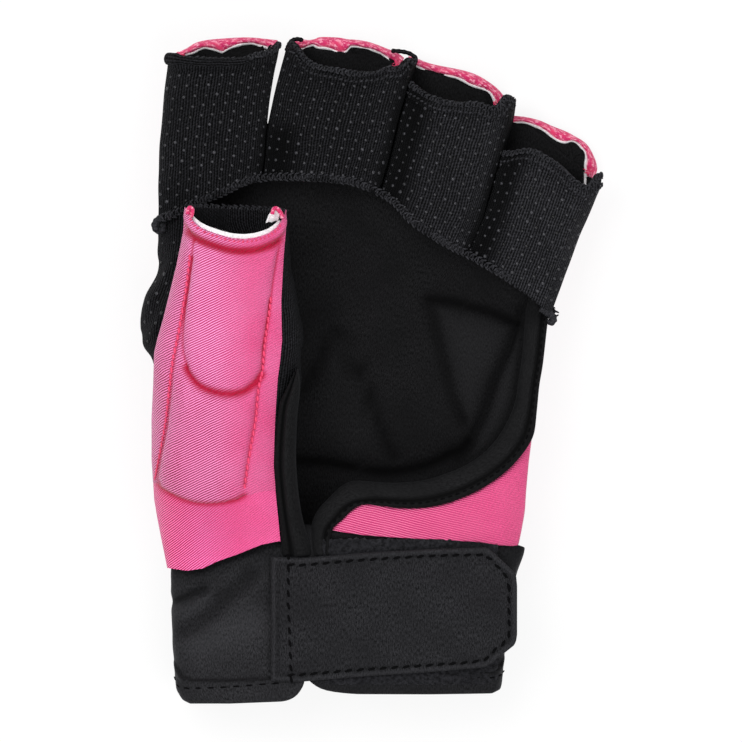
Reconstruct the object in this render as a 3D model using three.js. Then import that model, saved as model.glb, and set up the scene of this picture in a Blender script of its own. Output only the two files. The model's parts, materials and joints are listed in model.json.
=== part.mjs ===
// An open-palm field hockey glove for the left hand, lying on its padded back.
// Millimetres. X runs from the thumb side to the little finger, Y to the finger tips, Z up out of the palm.
import * as THREE from 'three';
import { mergeVertices } from 'three/addons/utils/BufferGeometryUtils.js';

// Overall size
const gloveLength = 180;
const gloveWidth = 124.6;

// Layers, from the back of the hand towards the palm
const padHeight = 3.2;
const padBevel = 0.7;
const padCornerShare = 0.42;
const seatGap = 0.3;
const rimGap = 0.9;
const shellFloor = padHeight + seatGap;
const foamShell = 2.4;
const fingerShell = 3;
const liningThickness = 0.8;
const knitThickness = 1.2;
const knitInset = 0.5;
const cuffThickness = 1.8;
const hingeGap = 0.2;

// Heights over the surface that the glove lies on
const fingerTop = 20.7;
const midPalmTop = 21.5;
const heelTop = 26;
const cuffTop = 24.5;
const fingerRim = 12;
const thumbSideRim = 15.4;
const webRim = 10.5;
const openSideRim = 18.5;
const cuffRim = 13;

// Edges of the hand as [share along, share across] from the cuff to the finger roots
const leftEdgeShares = [
  [0, 0.097], [0.022, 0.082], [0.082, 0.073], [0.157, 0.069], [0.205, 0.067], [0.239, 0.054],
  [0.291, 0.037], [0.366, 0.027], [0.441, 0.027], [0.516, 0.03], [0.605, 0.037], [0.694, 0.041], [0.8, 0.042],
];
const rightEdgeShares = [
  [0, 0.778], [0.055, 0.786], [0.127, 0.8], [0.199, 0.812], [0.238, 0.821], [0.291, 0.832],
  [0.366, 0.842], [0.441, 0.862], [0.486, 0.866], [0.562, 0.879], [0.589, 0.892], [0.623, 0.912],
  [0.668, 0.946],
];

// Heights of the palm and of the two side rims as [share along, height]
const palmTopAlong = [
  [0, cuffTop], [0.24, cuffTop], [0.29, heelTop], [0.36, heelTop], [0.5, midPalmTop], [0.6, fingerTop],
];
const leftRimAlong = [
  [0, cuffRim], [0.2, cuffRim], [0.25, thumbSideRim], [0.45, thumbSideRim], [0.5, webRim],
  [0.68, webRim], [0.73, fingerRim],
];
const rightRimAlong = [
  [0, cuffRim], [0.2, cuffRim], [0.26, openSideRim], [0.54, openSideRim], [0.62, fingerRim],
];

// Edges on the palm side as [share across, share along]
const palmHoleShares = [
  [0.03, 0.714], [0.099, 0.732], [0.16, 0.752], [0.218, 0.77], [0.283, 0.78], [0.369, 0.782], [0.456, 0.777],
  [0.531, 0.756], [0.585, 0.719], [0.672, 0.68], [0.737, 0.658], [0.823, 0.62], [0.877, 0.593], [0.905, 0.58],
];
const wristSeamShares = [
  [0.063, 0.205], [0.138, 0.205], [0.168, 0.215], [0.214, 0.226], [0.266, 0.241], [0.326, 0.25],
  [0.41, 0.257], [0.488, 0.254], [0.629, 0.248], [0.745, 0.244], [0.821, 0.238],
];
const heelEdgeShares = [
  [0.41, 0.259], [0.443, 0.274], [0.471, 0.287], [0.542, 0.287], [0.605, 0.285], [0.665, 0.293],
  [0.726, 0.309], [0.797, 0.342], [0.83, 0.368], [0.86, 0.372],
];
const heelBindingShares = [
  [0.386, 0.268], [0.414, 0.292], [0.442, 0.308], [0.471, 0.315], [0.542, 0.315], [0.605, 0.316],
  [0.665, 0.326], [0.722, 0.342], [0.775, 0.368], [0.812, 0.402], [0.834, 0.441], [0.846, 0.482],
  [0.853, 0.53], [0.862, 0.575],
];

// Fingers: lengths of the back and of the palm-side knit from the root crease, and the drop of the back's corners
const indexBack = 37.1;
const indexKnit = 31;
const middleBack = 34.7;
const middleKnit = 25.5;
const ringBack = 35.7;
const ringKnit = 29.2;
const littleBack = 32;
const littleKnit = 23.6;
const tipDrop = 2.4;
const littleTipDrop = 5;
const overlock = 2.1;
const rolledHem = 4.3;

// Each finger's lean from +Y in degrees and its edges, then widths as shares of the glove and root centres
// as [share across, share along]
const fingers = [
  { name: 'index', lean: 3, back: indexBack, drop: tipDrop, knit: indexKnit, hem: rolledHem },
  { name: 'middle', lean: 7.6, back: middleBack, drop: tipDrop, knit: middleKnit, hem: overlock },
  { name: 'ring', lean: 11.3, back: ringBack, drop: tipDrop, knit: ringKnit, hem: overlock },
  { name: 'little', lean: 17, back: littleBack, drop: littleTipDrop, knit: littleKnit, hem: overlock },
];
const fingerWidthShares = { index: 0.2247, middle: 0.252, ring: 0.2247, little: 0.1902 };
const fingerRootShares = {
  index: [0.16, 0.792], middle: [0.409, 0.807], ring: [0.65, 0.747], little: [0.846, 0.687],
};
const fingerSquareness = 3.2;
const fingerPadMargin = 4.5;
const fingerPadStart = 7;
const knucklePadLength = 13;

// Thumb: edges and heights along the hand, from the wrist to the tip
const thumbLeftShares = [
  [0.205, 0.068], [0.258, 0.052], [0.31, 0.038], [0.43, 0.029], [0.48, 0.033], [0.526, 0.035],
  [0.574, 0.053], [0.656, 0.082], [0.709, 0.099], [0.742, 0.101],
];
const thumbRightShares = [
  [0.205, 0.34], [0.26, 0.352], [0.291, 0.345], [0.33, 0.34], [0.375, 0.337], [0.43, 0.343], [0.5, 0.35],
  [0.545, 0.352], [0.58, 0.349], [0.647, 0.326], [0.742, 0.315],
];
const thumbTop = 43;
const thumbTipTop = 41.5;
const thumbUnderside = 19;
const thumbTipUnderside = 22;
const thumbFoldHeight = 16;
const thumbFoldShare = 0.0245;
const thumbFlexShare = 0.458;
const thumbTipShare = 0.7405;
const thumbRootTop = 30;
const thumbSeamTop = 25.5;
const thumbMiddleTop = 37;
const thumbTopAlong = [
  [0.205, thumbSeamTop], [0.253, thumbRootTop], [0.3, thumbMiddleTop], [0.36, thumbTipTop], [0.43, thumbTop],
  [0.55, thumbTop], [0.742, thumbTipTop],
];
const thumbScoop = 9.3;
const thumbPadRise = 2;
const thumbPadSeat = 0.7;
const thumbPadLowShare = 0.305;
const thumbPadRound = 2.2;
const thumbBindingShares = [0.265, 0.3, 0.345, 0.4, 0.452];
const thumbHemWidth = 2.4;
const thumbSquareness = 2.5;
const thumbRootShare = 0.2535;
const thumbBaseEndDegrees = 44;
const thumbTipEndDegrees = 48;

// Thumb web: the knit gusset on the left side under the thumb tip
const webBulge = 4.45;
const webReach = 9;
const webLowShare = 0.472;
const webHighShare = 0.705;
const webTop = 17.4;

// Bindings
const bindingWidth = 6.4;
const bindingHeight = 4.6;
const thumbBindingWidth = 5.4;
const overlockHeight = 1.9;
const slantAllowance = 1.25;

// Cuff and strap
const cuffHemLength = 6.5;
const cuffHemRise = 0.4;
const slitShare = 0.3585;
const slitGap = 0.9;
const heelCuffEndShare = 0.015;
const strapHingeShare = 0.347;
const strapEndShare = 0.813;
const strapAnchorShare = 0.285;
const strapMiddleShare = 0.137;
const strapWidth = 32.6;
const strapSlope = 0.045;
const strapThickness = 2.2;
const strapCorner = 5;
const patchThickness = 0.8;
const loopStartShare = 0.38;
const loopEndShare = 0.704;
const loopWidth = 35.4;
const hookRiseShare = 0.56;
const hookStartShare = 0.6;
const hookEndShare = 0.775;
const hookWidth = 26;
const palmSquareness = 3.2;
const backSquareness = 6;

const across = (share) => (share - 0.5) * gloveWidth;
const along = (share) => (share - 0.5) * gloveLength;
const shareAlong = (y) => y / gloveLength + 0.5;
const shareAcross = (x) => x / gloveWidth + 0.5;

// Value at a place in a table of [place, value] rows, straight between rows and level past the ends
function readTable(table, place) {
  if (place <= table[0][0]) return table[0][1];
  for (let row = 1; row < table.length; row += 1) {
    const [start, startValue] = table[row - 1];
    const [end, endValue] = table[row];
    if (place <= end) return THREE.MathUtils.mapLinear(place, start, end, startValue, endValue);
  }
  return table[table.length - 1][1];
}

const edgeOf = (table, shift = 0) => (x) => along(readTable(table, shareAcross(x))) + shift;
const level = (y) => () => y;
const spread = (start, end, steps) =>
  Array.from({ length: steps + 1 }, (_, step) => THREE.MathUtils.lerp(start, end, step / steps));

// Materials
const colours = {
  twill: 0xea62a0,
  pad: 0xdb6499,
  knit: 0x19191a,
  lining: 0x171717,
  binding: 0x2c2c2e,
  cuff: 0x28282a,
  strap: 0x2b2b2d,
  patch: 0x1f1f20,
};

function material(colour, roughness = 0.9) {
  return new THREE.MeshStandardMaterial({ color: colour, roughness, metalness: 0 });
}

function piece(name, geometry, colour) {
  const mesh = new THREE.Mesh(geometry, material(colour));
  mesh.name = name;
  return mesh;
}

// A closed body from points and triangles, wound so that its faces point out
function closedBody(positions, triangles) {
  const geometry = new THREE.BufferGeometry();
  geometry.setAttribute('position', new THREE.Float32BufferAttribute(positions.flatMap((p) => p.toArray()), 3));
  let volume = 0;
  for (const [a, b, c] of triangles) {
    volume += positions[a].dot(new THREE.Vector3().crossVectors(positions[b], positions[c]));
  }
  const wound = volume > 0 ? triangles : triangles.map(([a, b, c]) => [a, c, b]);
  geometry.setIndex(wound.flat());
  geometry.computeVertexNormals();
  return geometry;
}

// A thick sheet between two grids of points
function sheet(outerGrid, innerGrid) {
  const columnCount = outerGrid.length;
  const rowCount = outerGrid[0].length;
  const positions = [...outerGrid.flat(), ...innerGrid.flat()];
  const faceSize = columnCount * rowCount;
  const at = (face, column, row) => face * faceSize + column * rowCount + row;
  const triangles = [];
  const quad = (a, b, c, d) => triangles.push([a, b, c], [a, c, d]);
  for (let column = 0; column < columnCount - 1; column += 1) {
    for (let row = 0; row < rowCount - 1; row += 1) {
      quad(at(0, column, row), at(0, column + 1, row), at(0, column + 1, row + 1), at(0, column, row + 1));
      quad(at(1, column, row), at(1, column, row + 1), at(1, column + 1, row + 1), at(1, column + 1, row));
    }
    const last = rowCount - 1;
    quad(at(0, column, 0), at(1, column, 0), at(1, column + 1, 0), at(0, column + 1, 0));
    quad(at(0, column, last), at(0, column + 1, last), at(1, column + 1, last), at(1, column, last));
  }
  for (let row = 0; row < rowCount - 1; row += 1) {
    const last = columnCount - 1;
    quad(at(0, 0, row), at(0, 0, row + 1), at(1, 0, row + 1), at(1, 0, row));
    quad(at(0, last, row), at(1, last, row), at(1, last, row + 1), at(0, last, row + 1));
  }
  return closedBody(positions, triangles);
}

// A tube of squarish sections along Y. Degrees count from the top, and grow towards the little finger.
// The section at y is { left, right, low, high, leftRim, rightRim }, and its walls stand upright at the rims.
function tube(section, upperSquareness, lowerSquareness = upperSquareness) {
  const rounded = (value, squareness) => Math.sign(value) * Math.abs(value) ** (2 / squareness);
  return {
    point(degrees, y, inset = 0) {
      const { left, right, low, high, leftRim, rightRim } = section(y);
      const sine = Math.sin(THREE.MathUtils.degToRad(degrees));
      const cosine = Math.cos(THREE.MathUtils.degToRad(degrees));
      const squareness = cosine > 0 ? upperSquareness : lowerSquareness;
      const rim = sine < 0 ? leftRim : rightRim;
      const reach = cosine > 0 ? high - inset - rim : rim - low - inset;
      const x = (left + right) / 2 + ((right - left) / 2 - inset) * rounded(sine, squareness);
      return new THREE.Vector3(x, y, rim + reach * rounded(cosine, squareness));
    },
    columnAt(x, y, onBack = false) {
      const { left, right } = section(y);
      const share = THREE.MathUtils.clamp((2 * x - left - right) / (right - left), -1, 1);
      const sine = Math.sign(share) * Math.abs(share) ** ((onBack ? lowerSquareness : upperSquareness) / 2);
      const degrees = THREE.MathUtils.radToDeg(Math.asin(sine));
      return onBack ? 180 - degrees : degrees;
    },
    // The column that lies a gap above the rim of one side, at y
    columnAboveRim(side, y, gap = rimGap) {
      const { high, leftRim, rightRim } = section(y);
      const reach = high - (side < 0 ? leftRim : rightRim);
      return side * THREE.MathUtils.radToDeg(Math.acos((gap / reach) ** (upperSquareness / 2)));
    },
    heightAt(x, y) {
      return this.point(this.columnAt(x, y), y).z;
    },
  };
}

// Where the column at these degrees meets an edge that gives y from x
function meet(surface, degrees, edge) {
  let y = edge(0);
  for (let turn = 0; turn < 5; turn += 1) {
    y = edge(surface.point(degrees, y).x);
  }
  return y;
}

// A patch of a tube: columns in degrees, edges as functions of x or one y for each column
function patch(surface, { columns, rows, low, high, outer = 0, inner }) {
  const yOf = (edge, index) => (Array.isArray(edge) ? edge[index] : meet(surface, columns[index], edge));
  const insetOf = (inset, index) => (typeof inset === 'function' ? inset(index / (columns.length - 1)) : inset);
  const grid = (inset) => columns.map((degrees, index) =>
    spread(yOf(low, index), yOf(high, index), rows).map((y) =>
      surface.point(degrees, y, insetOf(inset, index))));
  return sheet(grid(outer), grid(inner));
}

// A roll with an oval section along a smooth line through the points
function roll(points, width, height, steps, sides = 8) {
  const line = new THREE.CatmullRomCurve3(points);
  const positions = [];
  const triangles = [];
  const up = new THREE.Vector3(0, 0, 1);
  for (const place of spread(0, 1, steps)) {
    const centre = line.getPointAt(place);
    const tangent = line.getTangentAt(place);
    const side = new THREE.Vector3().crossVectors(tangent, up).normalize();
    const lift = new THREE.Vector3().crossVectors(side, tangent);
    for (let corner = 0; corner < sides; corner += 1) {
      const angle = (corner / sides) * 2 * Math.PI;
      const reach = side.clone().multiplyScalar(Math.cos(angle) * width / 2);
      reach.addScaledVector(lift, Math.sin(angle) * height / 2);
      positions.push(centre.clone().add(reach));
    }
  }
  for (let step = 0; step < steps; step += 1) {
    for (let corner = 0; corner < sides; corner += 1) {
      const next = (corner + 1) % sides;
      const [a, b] = [step * sides + corner, step * sides + next];
      triangles.push([a, a + sides, b + sides], [a, b + sides, b]);
    }
  }
  for (let corner = 1; corner < sides - 1; corner += 1) {
    const end = steps * sides;
    triangles.push([0, corner, corner + 1], [end, end + corner + 1, end + corner]);
  }
  return closedBody(positions, triangles);
}

// A flat pad with rounded corners and a chamfered rim, standing on the surface the glove lies on
function flatPad(corners, base = 0) {
  const shape = new THREE.Shape();
  const count = corners.length;
  const sides = corners.map((corner, index) => corner.distanceTo(corners[(index + 1) % count]));
  const padCorner = padCornerShare * Math.min(...sides);
  corners.forEach((corner, index) => {
    const before = corners[(index + count - 1) % count];
    const after = corners[(index + 1) % count];
    const toBefore = before.clone().sub(corner).setLength(padCorner);
    const toAfter = after.clone().sub(corner).setLength(padCorner);
    const start = corner.clone().add(toBefore);
    const end = corner.clone().add(toAfter);
    if (index === 0) shape.moveTo(start.x, start.y);
    else shape.lineTo(start.x, start.y);
    shape.quadraticCurveTo(corner.x, corner.y, end.x, end.y);
  });
  shape.closePath();
  const geometry = new THREE.ExtrudeGeometry(shape, {
    depth: padHeight - 2 * padBevel,
    bevelThickness: padBevel,
    bevelSize: padBevel,
    bevelOffset: -padBevel,
    bevelSegments: 1,
    curveSegments: 3,
  });
  geometry.translate(0, 0, base + padBevel);
  geometry.deleteAttribute('normal');
  geometry.deleteAttribute('uv');
  const merged = mergeVertices(geometry);
  merged.computeVertexNormals();
  return merged;
}

// The hand
const hand = tube((y) => {
  const share = shareAlong(y);
  return {
    left: across(readTable(leftEdgeShares, share)),
    right: across(readTable(rightEdgeShares, share)),
    low: shellFloor,
    high: readTable(palmTopAlong, share),
    leftRim: readTable(leftRimAlong, share),
    rightRim: readTable(rightRimAlong, share),
  };
}, palmSquareness, backSquareness);

const fingerWidth = ({ name }) => fingerWidthShares[name] * gloveWidth;
const handPlace = (acrossShare, alongShare) => new THREE.Vector2(across(acrossShare), along(alongShare));

// A point of a finger's root frame, seen in the glove's plan
function fingerPlace({ name, lean }, x, y) {
  const place = new THREE.Vector2(x, y).rotateAround(new THREE.Vector2(), -THREE.MathUtils.degToRad(lean));
  return place.add(handPlace(...fingerRootShares[name]));
}

// The edge where the fingers leave the hand, as columns and their y, from the thumb side to the other
function fingerRootEdge(onBack) {
  const places = [];
  for (const finger of fingers) {
    const reach = fingerWidth(finger) / 2 + hingeGap;
    let start = -reach;
    while (places.length > 0 && fingerPlace(finger, start, -hingeGap).x < places.at(-1).x + seatGap) {
      start += seatGap;
    }
    for (const x of spread(start, reach, 3)) places.push(fingerPlace(finger, x, -hingeGap));
  }
  const edge = places.map(({ x, y }) => ({ degrees: hand.columnAt(x, y, onBack), y }));
  const [first, last] = [edge[0], edge.at(-1)];
  const rim = onBack ? 270 : hand.columnAboveRim(-1, first.y);
  const farRim = onBack ? 90 : hand.columnAboveRim(1, last.y);
  const wall = spread(rim, first.degrees, 2).slice(0, -1).map((degrees) => ({ degrees, y: first.y }));
  const farWall = spread(last.degrees, farRim, 2).slice(1).map((degrees) => ({ degrees, y: last.y }));
  return [...wall, ...edge, ...farWall];
}

const handBody = new THREE.Group();

function addHandShell() {
  const edge = fingerRootEdge(true);
  const shared = {
    columns: edge.map(({ degrees }) => degrees),
    high: edge.map(({ y }) => y),
    low: level(along(wristSeamShares[0][1]) + seatGap),
    rows: 12,
  };
  handBody.add(piece('back_shell', patch(hand, { ...shared, inner: foamShell }), colours.twill));
  const liningInset = foamShell + seatGap;
  const lining = patch(hand, { ...shared, outer: liningInset, inner: liningInset + liningThickness });
  handBody.add(piece('back_lining', lining, colours.lining));
}

function addPalmPanel() {
  const edge = fingerRootEdge(false);
  const rim = overlock * slantAllowance + seatGap;
  const panel = patch(hand, {
    columns: edge.map(({ degrees }) => degrees),
    high: edge.map(({ y }) => y),
    low: edgeOf(palmHoleShares, rim),
    rows: 3,
    outer: knitInset,
    inner: knitInset + knitThickness,
  });
  handBody.add(piece('palm_panel', panel, colours.knit));
  const overlockLine = palmHoleShares.slice(1, -1).map(([acrossShare, alongShare]) => {
    const place = handPlace(acrossShare, alongShare);
    const y = place.y + overlock / 2;
    return new THREE.Vector3(place.x, y, hand.heightAt(place.x, y) - knitInset);
  });
  const edging = roll(overlockLine, overlock, overlockHeight, 24, 6);
  handBody.add(piece('palm_overlock', edging, colours.knit));
}

// Flat pads under the back: one at each knuckle, and a set over the bones of the hand
const backPadShares = {
  index_metacarpal_pad: [[0.1, 0.7], [0.3, 0.72], [0.385, 0.6], [0.33, 0.46], [0.1, 0.46]],
  middle_metacarpal_pad: [[0.335, 0.71], [0.45, 0.7], [0.46, 0.607], [0.41, 0.607]],
  ring_metacarpal_pad: [
    [0.475, 0.7], [0.585, 0.665], [0.615, 0.607], [0.72, 0.45], [0.575, 0.4], [0.485, 0.607],
  ],
  little_metacarpal_pad: [[0.64, 0.63], [0.8, 0.585], [0.83, 0.5], [0.745, 0.44]],
  middle_hand_pad: [[0.4, 0.585], [0.46, 0.585], [0.55, 0.4], [0.37, 0.38]],
  thumb_side_pad: [[0.1, 0.435], [0.335, 0.435], [0.34, 0.36], [0.13, 0.33]],
  outer_hand_pad: [[0.6, 0.39], [0.74, 0.42], [0.8, 0.385], [0.79, 0.33], [0.6, 0.34]],
  wrist_pad: [[0.16, 0.31], [0.36, 0.345], [0.57, 0.315], [0.78, 0.305], [0.77, 0.23], [0.16, 0.23]],
};

function addBackPads() {
  for (const finger of fingers) {
    const reach = fingerWidth(finger) / 2 - fingerPadMargin;
    const inner = -hingeGap - padBevel;
    const corners = [
      fingerPlace(finger, -reach, inner),
      fingerPlace(finger, reach, inner),
      fingerPlace(finger, reach - padBevel, -knucklePadLength),
      fingerPlace(finger, padBevel - reach, -knucklePadLength),
    ];
    handBody.add(piece(`${finger.name}_knuckle_pad`, flatPad(corners), colours.pad));
  }
  for (const [name, outlineShares] of Object.entries(backPadShares)) {
    const corners = outlineShares.map(([acrossShare, alongShare]) => handPlace(acrossShare, alongShare));
    handBody.add(piece(name, flatPad(corners), colours.pad));
  }
}

// The knit gusset that bulges past the left side below the index finger
function addThumbWeb() {
  const webPoint = (turn, y, inset) => {
    const left = across(readTable(leftEdgeShares, shareAlong(y)));
    const leftRim = readTable(leftRimAlong, shareAlong(y));
    const span = THREE.MathUtils.mapLinear(shareAlong(y), webLowShare, webHighShare, 0, 1);
    const bulge = webBulge * Math.sin(Math.PI * span) ** 2;
    const reach = webReach - inset;
    const rise = webTop - inset - leftRim - seatGap;
    const x = left + inset + reach * (1 - Math.cos(turn)) - bulge * Math.cos(turn) ** 2;
    return new THREE.Vector3(x, y, leftRim + seatGap + rise * Math.sin(turn));
  };
  const grid = (inset) => spread(0, Math.PI / 2, 6).map((turn) =>
    spread(along(webLowShare), along(webHighShare), 8).map((y) => webPoint(turn, y, inset)));
  handBody.add(piece('thumb_web', sheet(grid(0), grid(knitThickness)), colours.knit));
}

function addHeel() {
  const seam = edgeOf(wristSeamShares, seatGap);
  const start = hand.columnAt(across(heelEdgeShares[1][0]), along(heelEdgeShares[1][1]));
  const end = hand.columnAboveRim(1, along(heelEdgeShares[8][1]));
  const flap = patch(hand, {
    columns: [...spread(start, 60, 8), 70, 80, end],
    low: seam,
    high: edgeOf(heelEdgeShares, -seatGap),
    rows: 4,
    inner: foamShell,
  });
  handBody.add(piece('heel_flap', flap, colours.twill));
  const bindingLine = heelBindingShares.map(([acrossShare, alongShare]) => {
    const place = handPlace(acrossShare, alongShare);
    const rim = readTable(rightRimAlong, alongShare);
    const overRim = rim + seatGap + bindingHeight / 2;
    const height = Math.max(hand.heightAt(place.x, place.y) - foamShell / 2, overRim);
    return new THREE.Vector3(place.x, place.y, height);
  });
  handBody.add(piece('heel_binding', roll(bindingLine, bindingWidth, bindingHeight, 26), colours.binding));
}

// The cuff: a trough under the wrist and two top sides that meet at the slit under the strap
function addCuff() {
  const hemTop = (endShare) => along(endShare) + cuffHemLength;
  const slit = across(slitShare);
  const back = [270, 262, 250, 235, 215, 180, 145, 125, 110, 98, 90];
  const thumbEnd = hand.columnAt(slit - slitGap / 2, along(strapMiddleShare));
  const heelStart = hand.columnAt(slit + slitGap / 2, along(strapMiddleShare));
  const leftStart = hand.columnAboveRim(-1, along(0));
  const rightEnd = hand.columnAboveRim(1, along(0));
  const thumbSide = [leftStart, -82, ...spread(-70, thumbEnd, 5)];
  const heelSide = [...spread(heelStart, 70, 7), 82, rightEnd];
  const backTop = level(along(wristSeamShares[0][1]));
  const parts = [
    ['back', back, 0, backTop],
    ['thumb_side', thumbSide, 0, edgeOf(wristSeamShares)],
    ['heel_side', heelSide, heelCuffEndShare, edgeOf(wristSeamShares)],
  ];
  for (const [side, columns, endShare, top] of parts) {
    const wall = { columns, rows: 4, low: level(hemTop(endShare) + seatGap), high: top, inner: cuffThickness };
    const hem = { columns, rows: 1, low: level(along(endShare)), high: level(hemTop(endShare)) };
    const hemInsets = { outer: -cuffHemRise, inner: cuffThickness + cuffHemRise };
    handBody.add(piece(`cuff_${side}`, patch(hand, wall), colours.cuff));
    handBody.add(piece(`cuff_hem_${side}`, patch(hand, { ...hem, ...hemInsets }), colours.cuff));
  }
}

// The strap lies on the cuff with a constant profile, and folds back over its sewn end
const strapSection = {
  left: across(readTable(leftEdgeShares, strapMiddleShare)),
  right: across(strapEndShare),
  low: shellFloor,
  high: cuffTop,
  leftRim: cuffRim,
  rightRim: cuffRim + (cuffTop - cuffRim) / 2,
};
const strapTube = tube(() => strapSection, palmSquareness);
const strapLine = (x) => along(strapMiddleShare) + strapSlope * (x - across(strapHingeShare));
const strapBase = cuffHemRise + seatGap;
const loopLift = seatGap + patchThickness;
const overLoop = strapBase + loopLift;
const overHook = overLoop + loopLift;
const strapLiftAlong = [
  [strapHingeShare, strapBase], [loopStartShare, overLoop], [hookRiseShare, overLoop],
  [hookStartShare, overHook],
];
const strapLift = (x) => readTable(strapLiftAlong, shareAcross(x));
const strapTop = cuffTop + strapBase + strapThickness;

// A flat band over the cuff between two places across, lifted off it and cut at a tilted width
function band({ startShare, endShare, steps, width, lift, thickness, corner = 0 }) {
  const places = spread(across(startShare), across(endShare), steps);
  const cornerCut = (x) => {
    const past = corner - (across(endShare) - x);
    return past > 0 ? corner - Math.sqrt(Math.max(corner ** 2 - past ** 2, 0)) : 0;
  };
  if (corner > 0) {
    places.pop();
    for (const partShare of [0.75, 0.4, 0.15, 0]) places.push(across(endShare) - corner * partShare);
  }
  const grid = (offset) => places.map((x) => {
    const reach = width / 2 - cornerCut(x);
    const base = strapTube.heightAt(Math.min(x, across(hookEndShare)), 0);
    const z = base + lift(x) + offset;
    return spread(-reach, reach, 2).map((y) => new THREE.Vector3(x, strapLine(x) + y, z));
  });
  return sheet(grid(thickness), grid(0));
}

const strapBody = new THREE.Group();

function addStrap() {
  const hinge = shareAcross(across(strapHingeShare) + hingeGap);
  const anchorEnd = shareAcross(across(strapHingeShare) - hingeGap);
  const common = { width: strapWidth, lift: strapLift, thickness: strapThickness };
  const main = { ...common, startShare: hinge, endShare: strapEndShare, steps: 12, corner: strapCorner };
  strapBody.add(piece('strap_band', band(main), colours.strap));
  const hook = {
    startShare: hookStartShare,
    endShare: hookEndShare,
    steps: 5,
    width: hookWidth,
    lift: () => overLoop,
    thickness: patchThickness,
  };
  strapBody.add(piece('strap_hook_patch', band(hook), colours.patch));
  const anchor = { ...common, startShare: strapAnchorShare, endShare: anchorEnd, steps: 2 };
  handBody.add(piece('strap_anchor', band(anchor), colours.strap));
  const loop = {
    startShare: loopStartShare,
    endShare: loopEndShare,
    steps: 8,
    width: loopWidth,
    lift: () => strapBase,
    thickness: patchThickness,
  };
  handBody.add(piece('cuff_loop_patch', band(loop), colours.patch));
}

// The thumb: its base folds over the palm like a door, and its tip bends at the crease between its pads
const thumbSides = (share) => ({
  left: across(readTable(thumbLeftShares, share)),
  right: across(readTable(thumbRightShares, share)),
});
const thumbBaseTube = tube((y) => {
  const share = shareAlong(y);
  const rim = thumbFoldHeight + seatGap;
  return { ...thumbSides(share), low: 0, high: readTable(thumbTopAlong, share), leftRim: rim, rightRim: rim };
}, 2.1);
const thumbTipTube = tube((y) => {
  const share = shareAlong(y);
  const tipPart = THREE.MathUtils.mapLinear(share, thumbFlexShare, thumbTipShare, 0, 1);
  const low = THREE.MathUtils.lerp(thumbUnderside, thumbTipUnderside, tipPart);
  const high = readTable(thumbTopAlong, share);
  const rim = (low + high) / 2;
  return { ...thumbSides(share), low, high, leftRim: rim, rightRim: rim };
}, thumbSquareness);
const thumbBase = new THREE.Group();
const thumbTip = new THREE.Group();

function addThumbBase() {
  const low = level(along(thumbRootShare) + hingeGap);
  const high = level(along(thumbFlexShare) - hingeGap);
  const shared = { columns: [-90, -84, ...spread(-74, thumbBaseEndDegrees, 9)], rows: 6, low, high };
  const shell = patch(thumbBaseTube, { ...shared, inner: foamShell });
  thumbBase.add(piece('thumb_base_shell', shell, colours.twill));
  const liningInset = foamShell + seatGap;
  const insets = { outer: liningInset, inner: liningInset + liningThickness };
  thumbBase.add(piece('thumb_base_lining', patch(thumbBaseTube, { ...shared, ...insets }), colours.lining));
  const { left, right } = thumbSides(thumbPadLowShare);
  const padCentre = (left + right) / 2;
  const padReach = (right - left) / 3;
  const pad = patch(thumbBaseTube, {
    columns: spread(-50, 32, 7),
    rows: 5,
    low: (x) => along(thumbPadLowShare) - thumbPadRound * Math.cos((x - padCentre) / padReach),
    high: level(along(thumbFlexShare) - 2 * hingeGap),
    outer: -thumbPadSeat - thumbPadRise,
    inner: -thumbPadSeat,
  });
  thumbBase.add(piece('thumb_base_pad', pad, colours.pad));
  const line = thumbBindingShares.map((share) => {
    const y = along(share);
    const edge = thumbBaseTube.point(thumbBaseEndDegrees, y, foamShell / 2);
    const side = thumbBaseTube.point(thumbBaseEndDegrees + 20, y, foamShell / 2);
    const away = side.sub(edge).setLength(thumbBindingWidth / 2 + rimGap);
    return edge.add(away);
  });
  const binding = roll(line, thumbBindingWidth, thumbBindingWidth, 10);
  thumbBase.add(piece('thumb_binding', binding, colours.binding));
}

function addThumbTip() {
  const low = level(along(thumbFlexShare) + hingeGap);
  const tipY = along(thumbTipShare);
  const tipCentre = (thumbSides(thumbTipShare).left + thumbSides(thumbTipShare).right) / 2;
  const tipHalf = (thumbSides(thumbTipShare).right - thumbSides(thumbTipShare).left) / 2;
  const scooped = (x) => {
    const share = THREE.MathUtils.clamp((x - tipCentre) / tipHalf, -1, 1);
    return tipY - thumbScoop * Math.cos(share * Math.PI / 2);
  };
  const shell = patch(thumbTipTube, {
    columns: [-90, -80, ...spread(-66, thumbTipEndDegrees, 8)],
    rows: 7,
    low,
    high: scooped,
    inner: foamShell,
  });
  thumbTip.add(piece('thumb_tip_shell', shell, colours.twill));
  const knitColumns = [thumbTipEndDegrees + 3, 64, 80, 100, 125, 150, 180, 210, 235, 255, 268];
  const hemStart = tipY - thumbHemWidth;
  const knit = patch(thumbTipTube, {
    columns: knitColumns,
    rows: 6,
    low,
    high: level(hemStart - seatGap),
    outer: knitInset,
    inner: knitInset + knitThickness,
  });
  thumbTip.add(piece('thumb_tip_knit', knit, colours.knit));
  const hem = patch(thumbTipTube, {
    columns: knitColumns.slice(2),
    rows: 1,
    low: level(hemStart),
    high: level(tipY),
    inner: knitInset * 2 + knitThickness,
  });
  thumbTip.add(piece('thumb_tip_hem', hem, colours.knit));
  const pad = patch(thumbTipTube, {
    columns: spread(-48, 34, 7),
    rows: 4,
    low: level(along(thumbFlexShare) + 2 * hingeGap),
    high: (x) => scooped(x) - 2 * thumbHemWidth,
    outer: -thumbPadSeat - thumbPadRise,
    inner: -thumbPadSeat,
  });
  thumbTip.add(piece('thumb_tip_pad', pad, colours.pad));
}

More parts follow.
